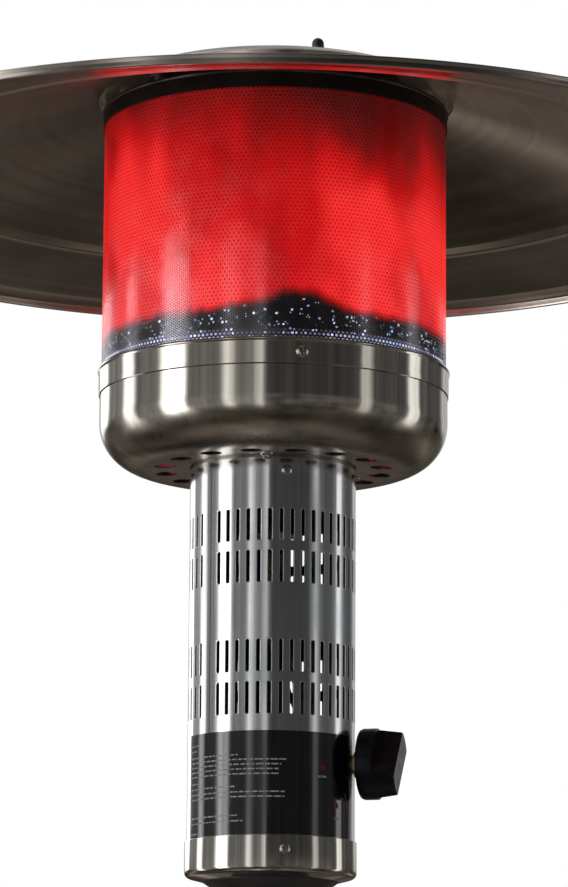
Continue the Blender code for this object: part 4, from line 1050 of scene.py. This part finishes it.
def build_wheels():
    half = WHEEL_W / 2
    tread = [(WHEEL_R - 1.4 if k % 2 else WHEEL_R, half - 5 - k * (WHEEL_W - 10) / 8) for k in range(9)]
    tyre = ([(38, half - 2, 1), (WHEEL_R - 5, half, 2), (WHEEL_R - 1, half - 3, 2)] + [(r, z, 0.5) for r, z in tread]
        + [(WHEEL_R - 1, 3 - half, 2), (WHEEL_R - 5, -half, 2), (38, 2 - half, 1)])
    hub = [(5.3, half), (12, half, 1), (13, half - 5, 2), (36, half - 6, 2), (38.4, half - 1, 1), (38.4, 1 - half, 1),
        (36, 6 - half, 2), (13, 5 - half, 2), (12, -half, 1), (5.3, -half)]
    hub_mesh = mesh_from("wheel_hub", turned(rounded(hub, 0.3, 4), 96), 35)
    holes = [rod_bm(around(90 + 60 * k, 24, -20), around(90 + 60 * k, 24, 20), 6, 24) for k in range(6)]
    hub_mesh = smooth(apply_boolean(hub_mesh, merged(*holes)), 35)
    tyre_mesh = mesh_from("wheel_tyre", turned(rounded(tyre, 0.3, 3), 128), 50)
    cap = [(0, 6), (5, 5.4, 2), (8, 2, 1.5), (8, 0.1), (5.4, 0.1), (5.4, 3.4), (0, 3.4)]
    cap_mesh = mesh_from("axle_cap", turned(rounded(cap, 0.2, 4, closed=False), 48, closed=False), 35)
    for side, word in ((-1, "left"), (1, "right")):
        upright = rotation(90 * side, "Y")
        place = Matrix.Translation((side * WHEEL_X, AXLE_Y, AXLE_Z)) @ upright
        body = f"{word}_wheel"
        add_object(f"tyre_{word}", tyre_mesh, "rubber", [f"wheel_{word}"], body=body, matrix=place)
        add_object(f"hub_{word}", hub_mesh, "black", body=body, matrix=place)
        end = Matrix.Translation((side * (WHEEL_X + half + 1), AXLE_Y, AXLE_Z)) @ upright
        add_object(f"axle_end_{word}", cap_mesh, "screw", [f"axle_cap_{word}"], matrix=end)
    reach = WHEEL_X + half + 4
    lathe("axle_rod", [(0, reach), (5, reach), (5, -reach), (0, -reach)], 0.5, 3, 48, "steel", ["wheel_axle"],
        matrix=Matrix.Translation((0, AXLE_Y, AXLE_Z)) @ rotation(90, "Y"), closed=False, sharp=35)


def build_regulator():
    centre = Vector((0, -62, 505))
    front = Matrix.Translation(centre) @ aim(Vector((0, -1, 0)))
    bell = [(0, 19), (10, 19, 2), (24, 17, 4), (30, 10, 4), (36, 5, 1.5), (36, -5, 1.5), (24, -9, 3), (15, -16, 3),
        (0, -16)]
    shell = turned(rounded(bell, 0.5, 5, closed=False), 96, closed=False)
    spigot = rod_bm((0, 28, 0), (0, 46, 0), 7, 32)
    rib = turned(rounded([(37, 1.6), (37, -1.6), (34, -1.6), (34, 1.6)], 0.5, 3), 96)
    piece("regulator_body", merged(shell, spigot, rib), "alloy", ["regulator"], matrix=front, sharp=35)
    down = Matrix.Translation(centre) @ aim(Vector((0, 0, -1)))
    inlet = [(0, 30), (5, 30), (5, 58, 1), (8, 60, 1), (8, 66, 1), (4, 72, 1), (0, 72)]
    lathe("inlet_nipple", inlet, 0.2, 4, 48, "brass", ["regulator_inlet"], matrix=down, closed=False)
    nut = [(5.7, 42), (16, 42, 2), (19, 45, 1.5), (19, 62, 1.5), (17, 70, 1), (15.4, 70), (15.4, 57), (5.7, 57)]
    bm = turned(rounded(nut, 0.3, 4), 72)
    for vert in bm.verts:
        r = hypot(vert.co.x, vert.co.y)
        if r > 17.5 and 46 < vert.co.z < 61:
            grip = 1 - 0.055 * (0.5 + 0.5 * cos(12 * atan2(vert.co.y, vert.co.x)))
            vert.co.x, vert.co.y = vert.co.x * grip, vert.co.y * grip
    piece("coupling_grip", bm, "black", ["regulator_nut"], body="coupling_nut", matrix=down, sharp=45)


def dress_cad():
    """Better materials for the CAD pieces that keep their own shape."""
    looks = {
        "steel": ["burner_plate", "mixing_tube", "thermocouple", "valve_bracket"],
        "lid": ["burner_head"],
        "brass": ["burner_gas_tube", "gas_orifice", "pilot_burner", "pilot_tube", "thermocouple_lead", "valve_plunger"],
        "alloy": ["gas_valve"],
        "black": ["piezo_igniter"],
        "ceramic": ["spark_electrode"],
        "rubber": ["gas_hose", "spark_lead"],
        "red": ["tilt_switch"],
        "black_paint": ["wheel_bracket"],
    }
    for look, names in looks.items():
        for name in names:
            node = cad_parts[name]
            for slot in node.material_slots:
                slot.material = LOOKS[look]


def main():
    make_camera()
    make_studio()
    LOOKS.update(make_materials())
    screw = screw_mesh()
    build_reflector()
    build_fixings()
    build_emitter()
    build_bowl(screw)
    build_housing(screw)
    build_inner_shade_sheet()
    build_label()
    build_controls()
    build_post()
    build_base(screw)
    build_cover(screw)
    build_wheels()
    build_regulator()
    dress_cad()


main()
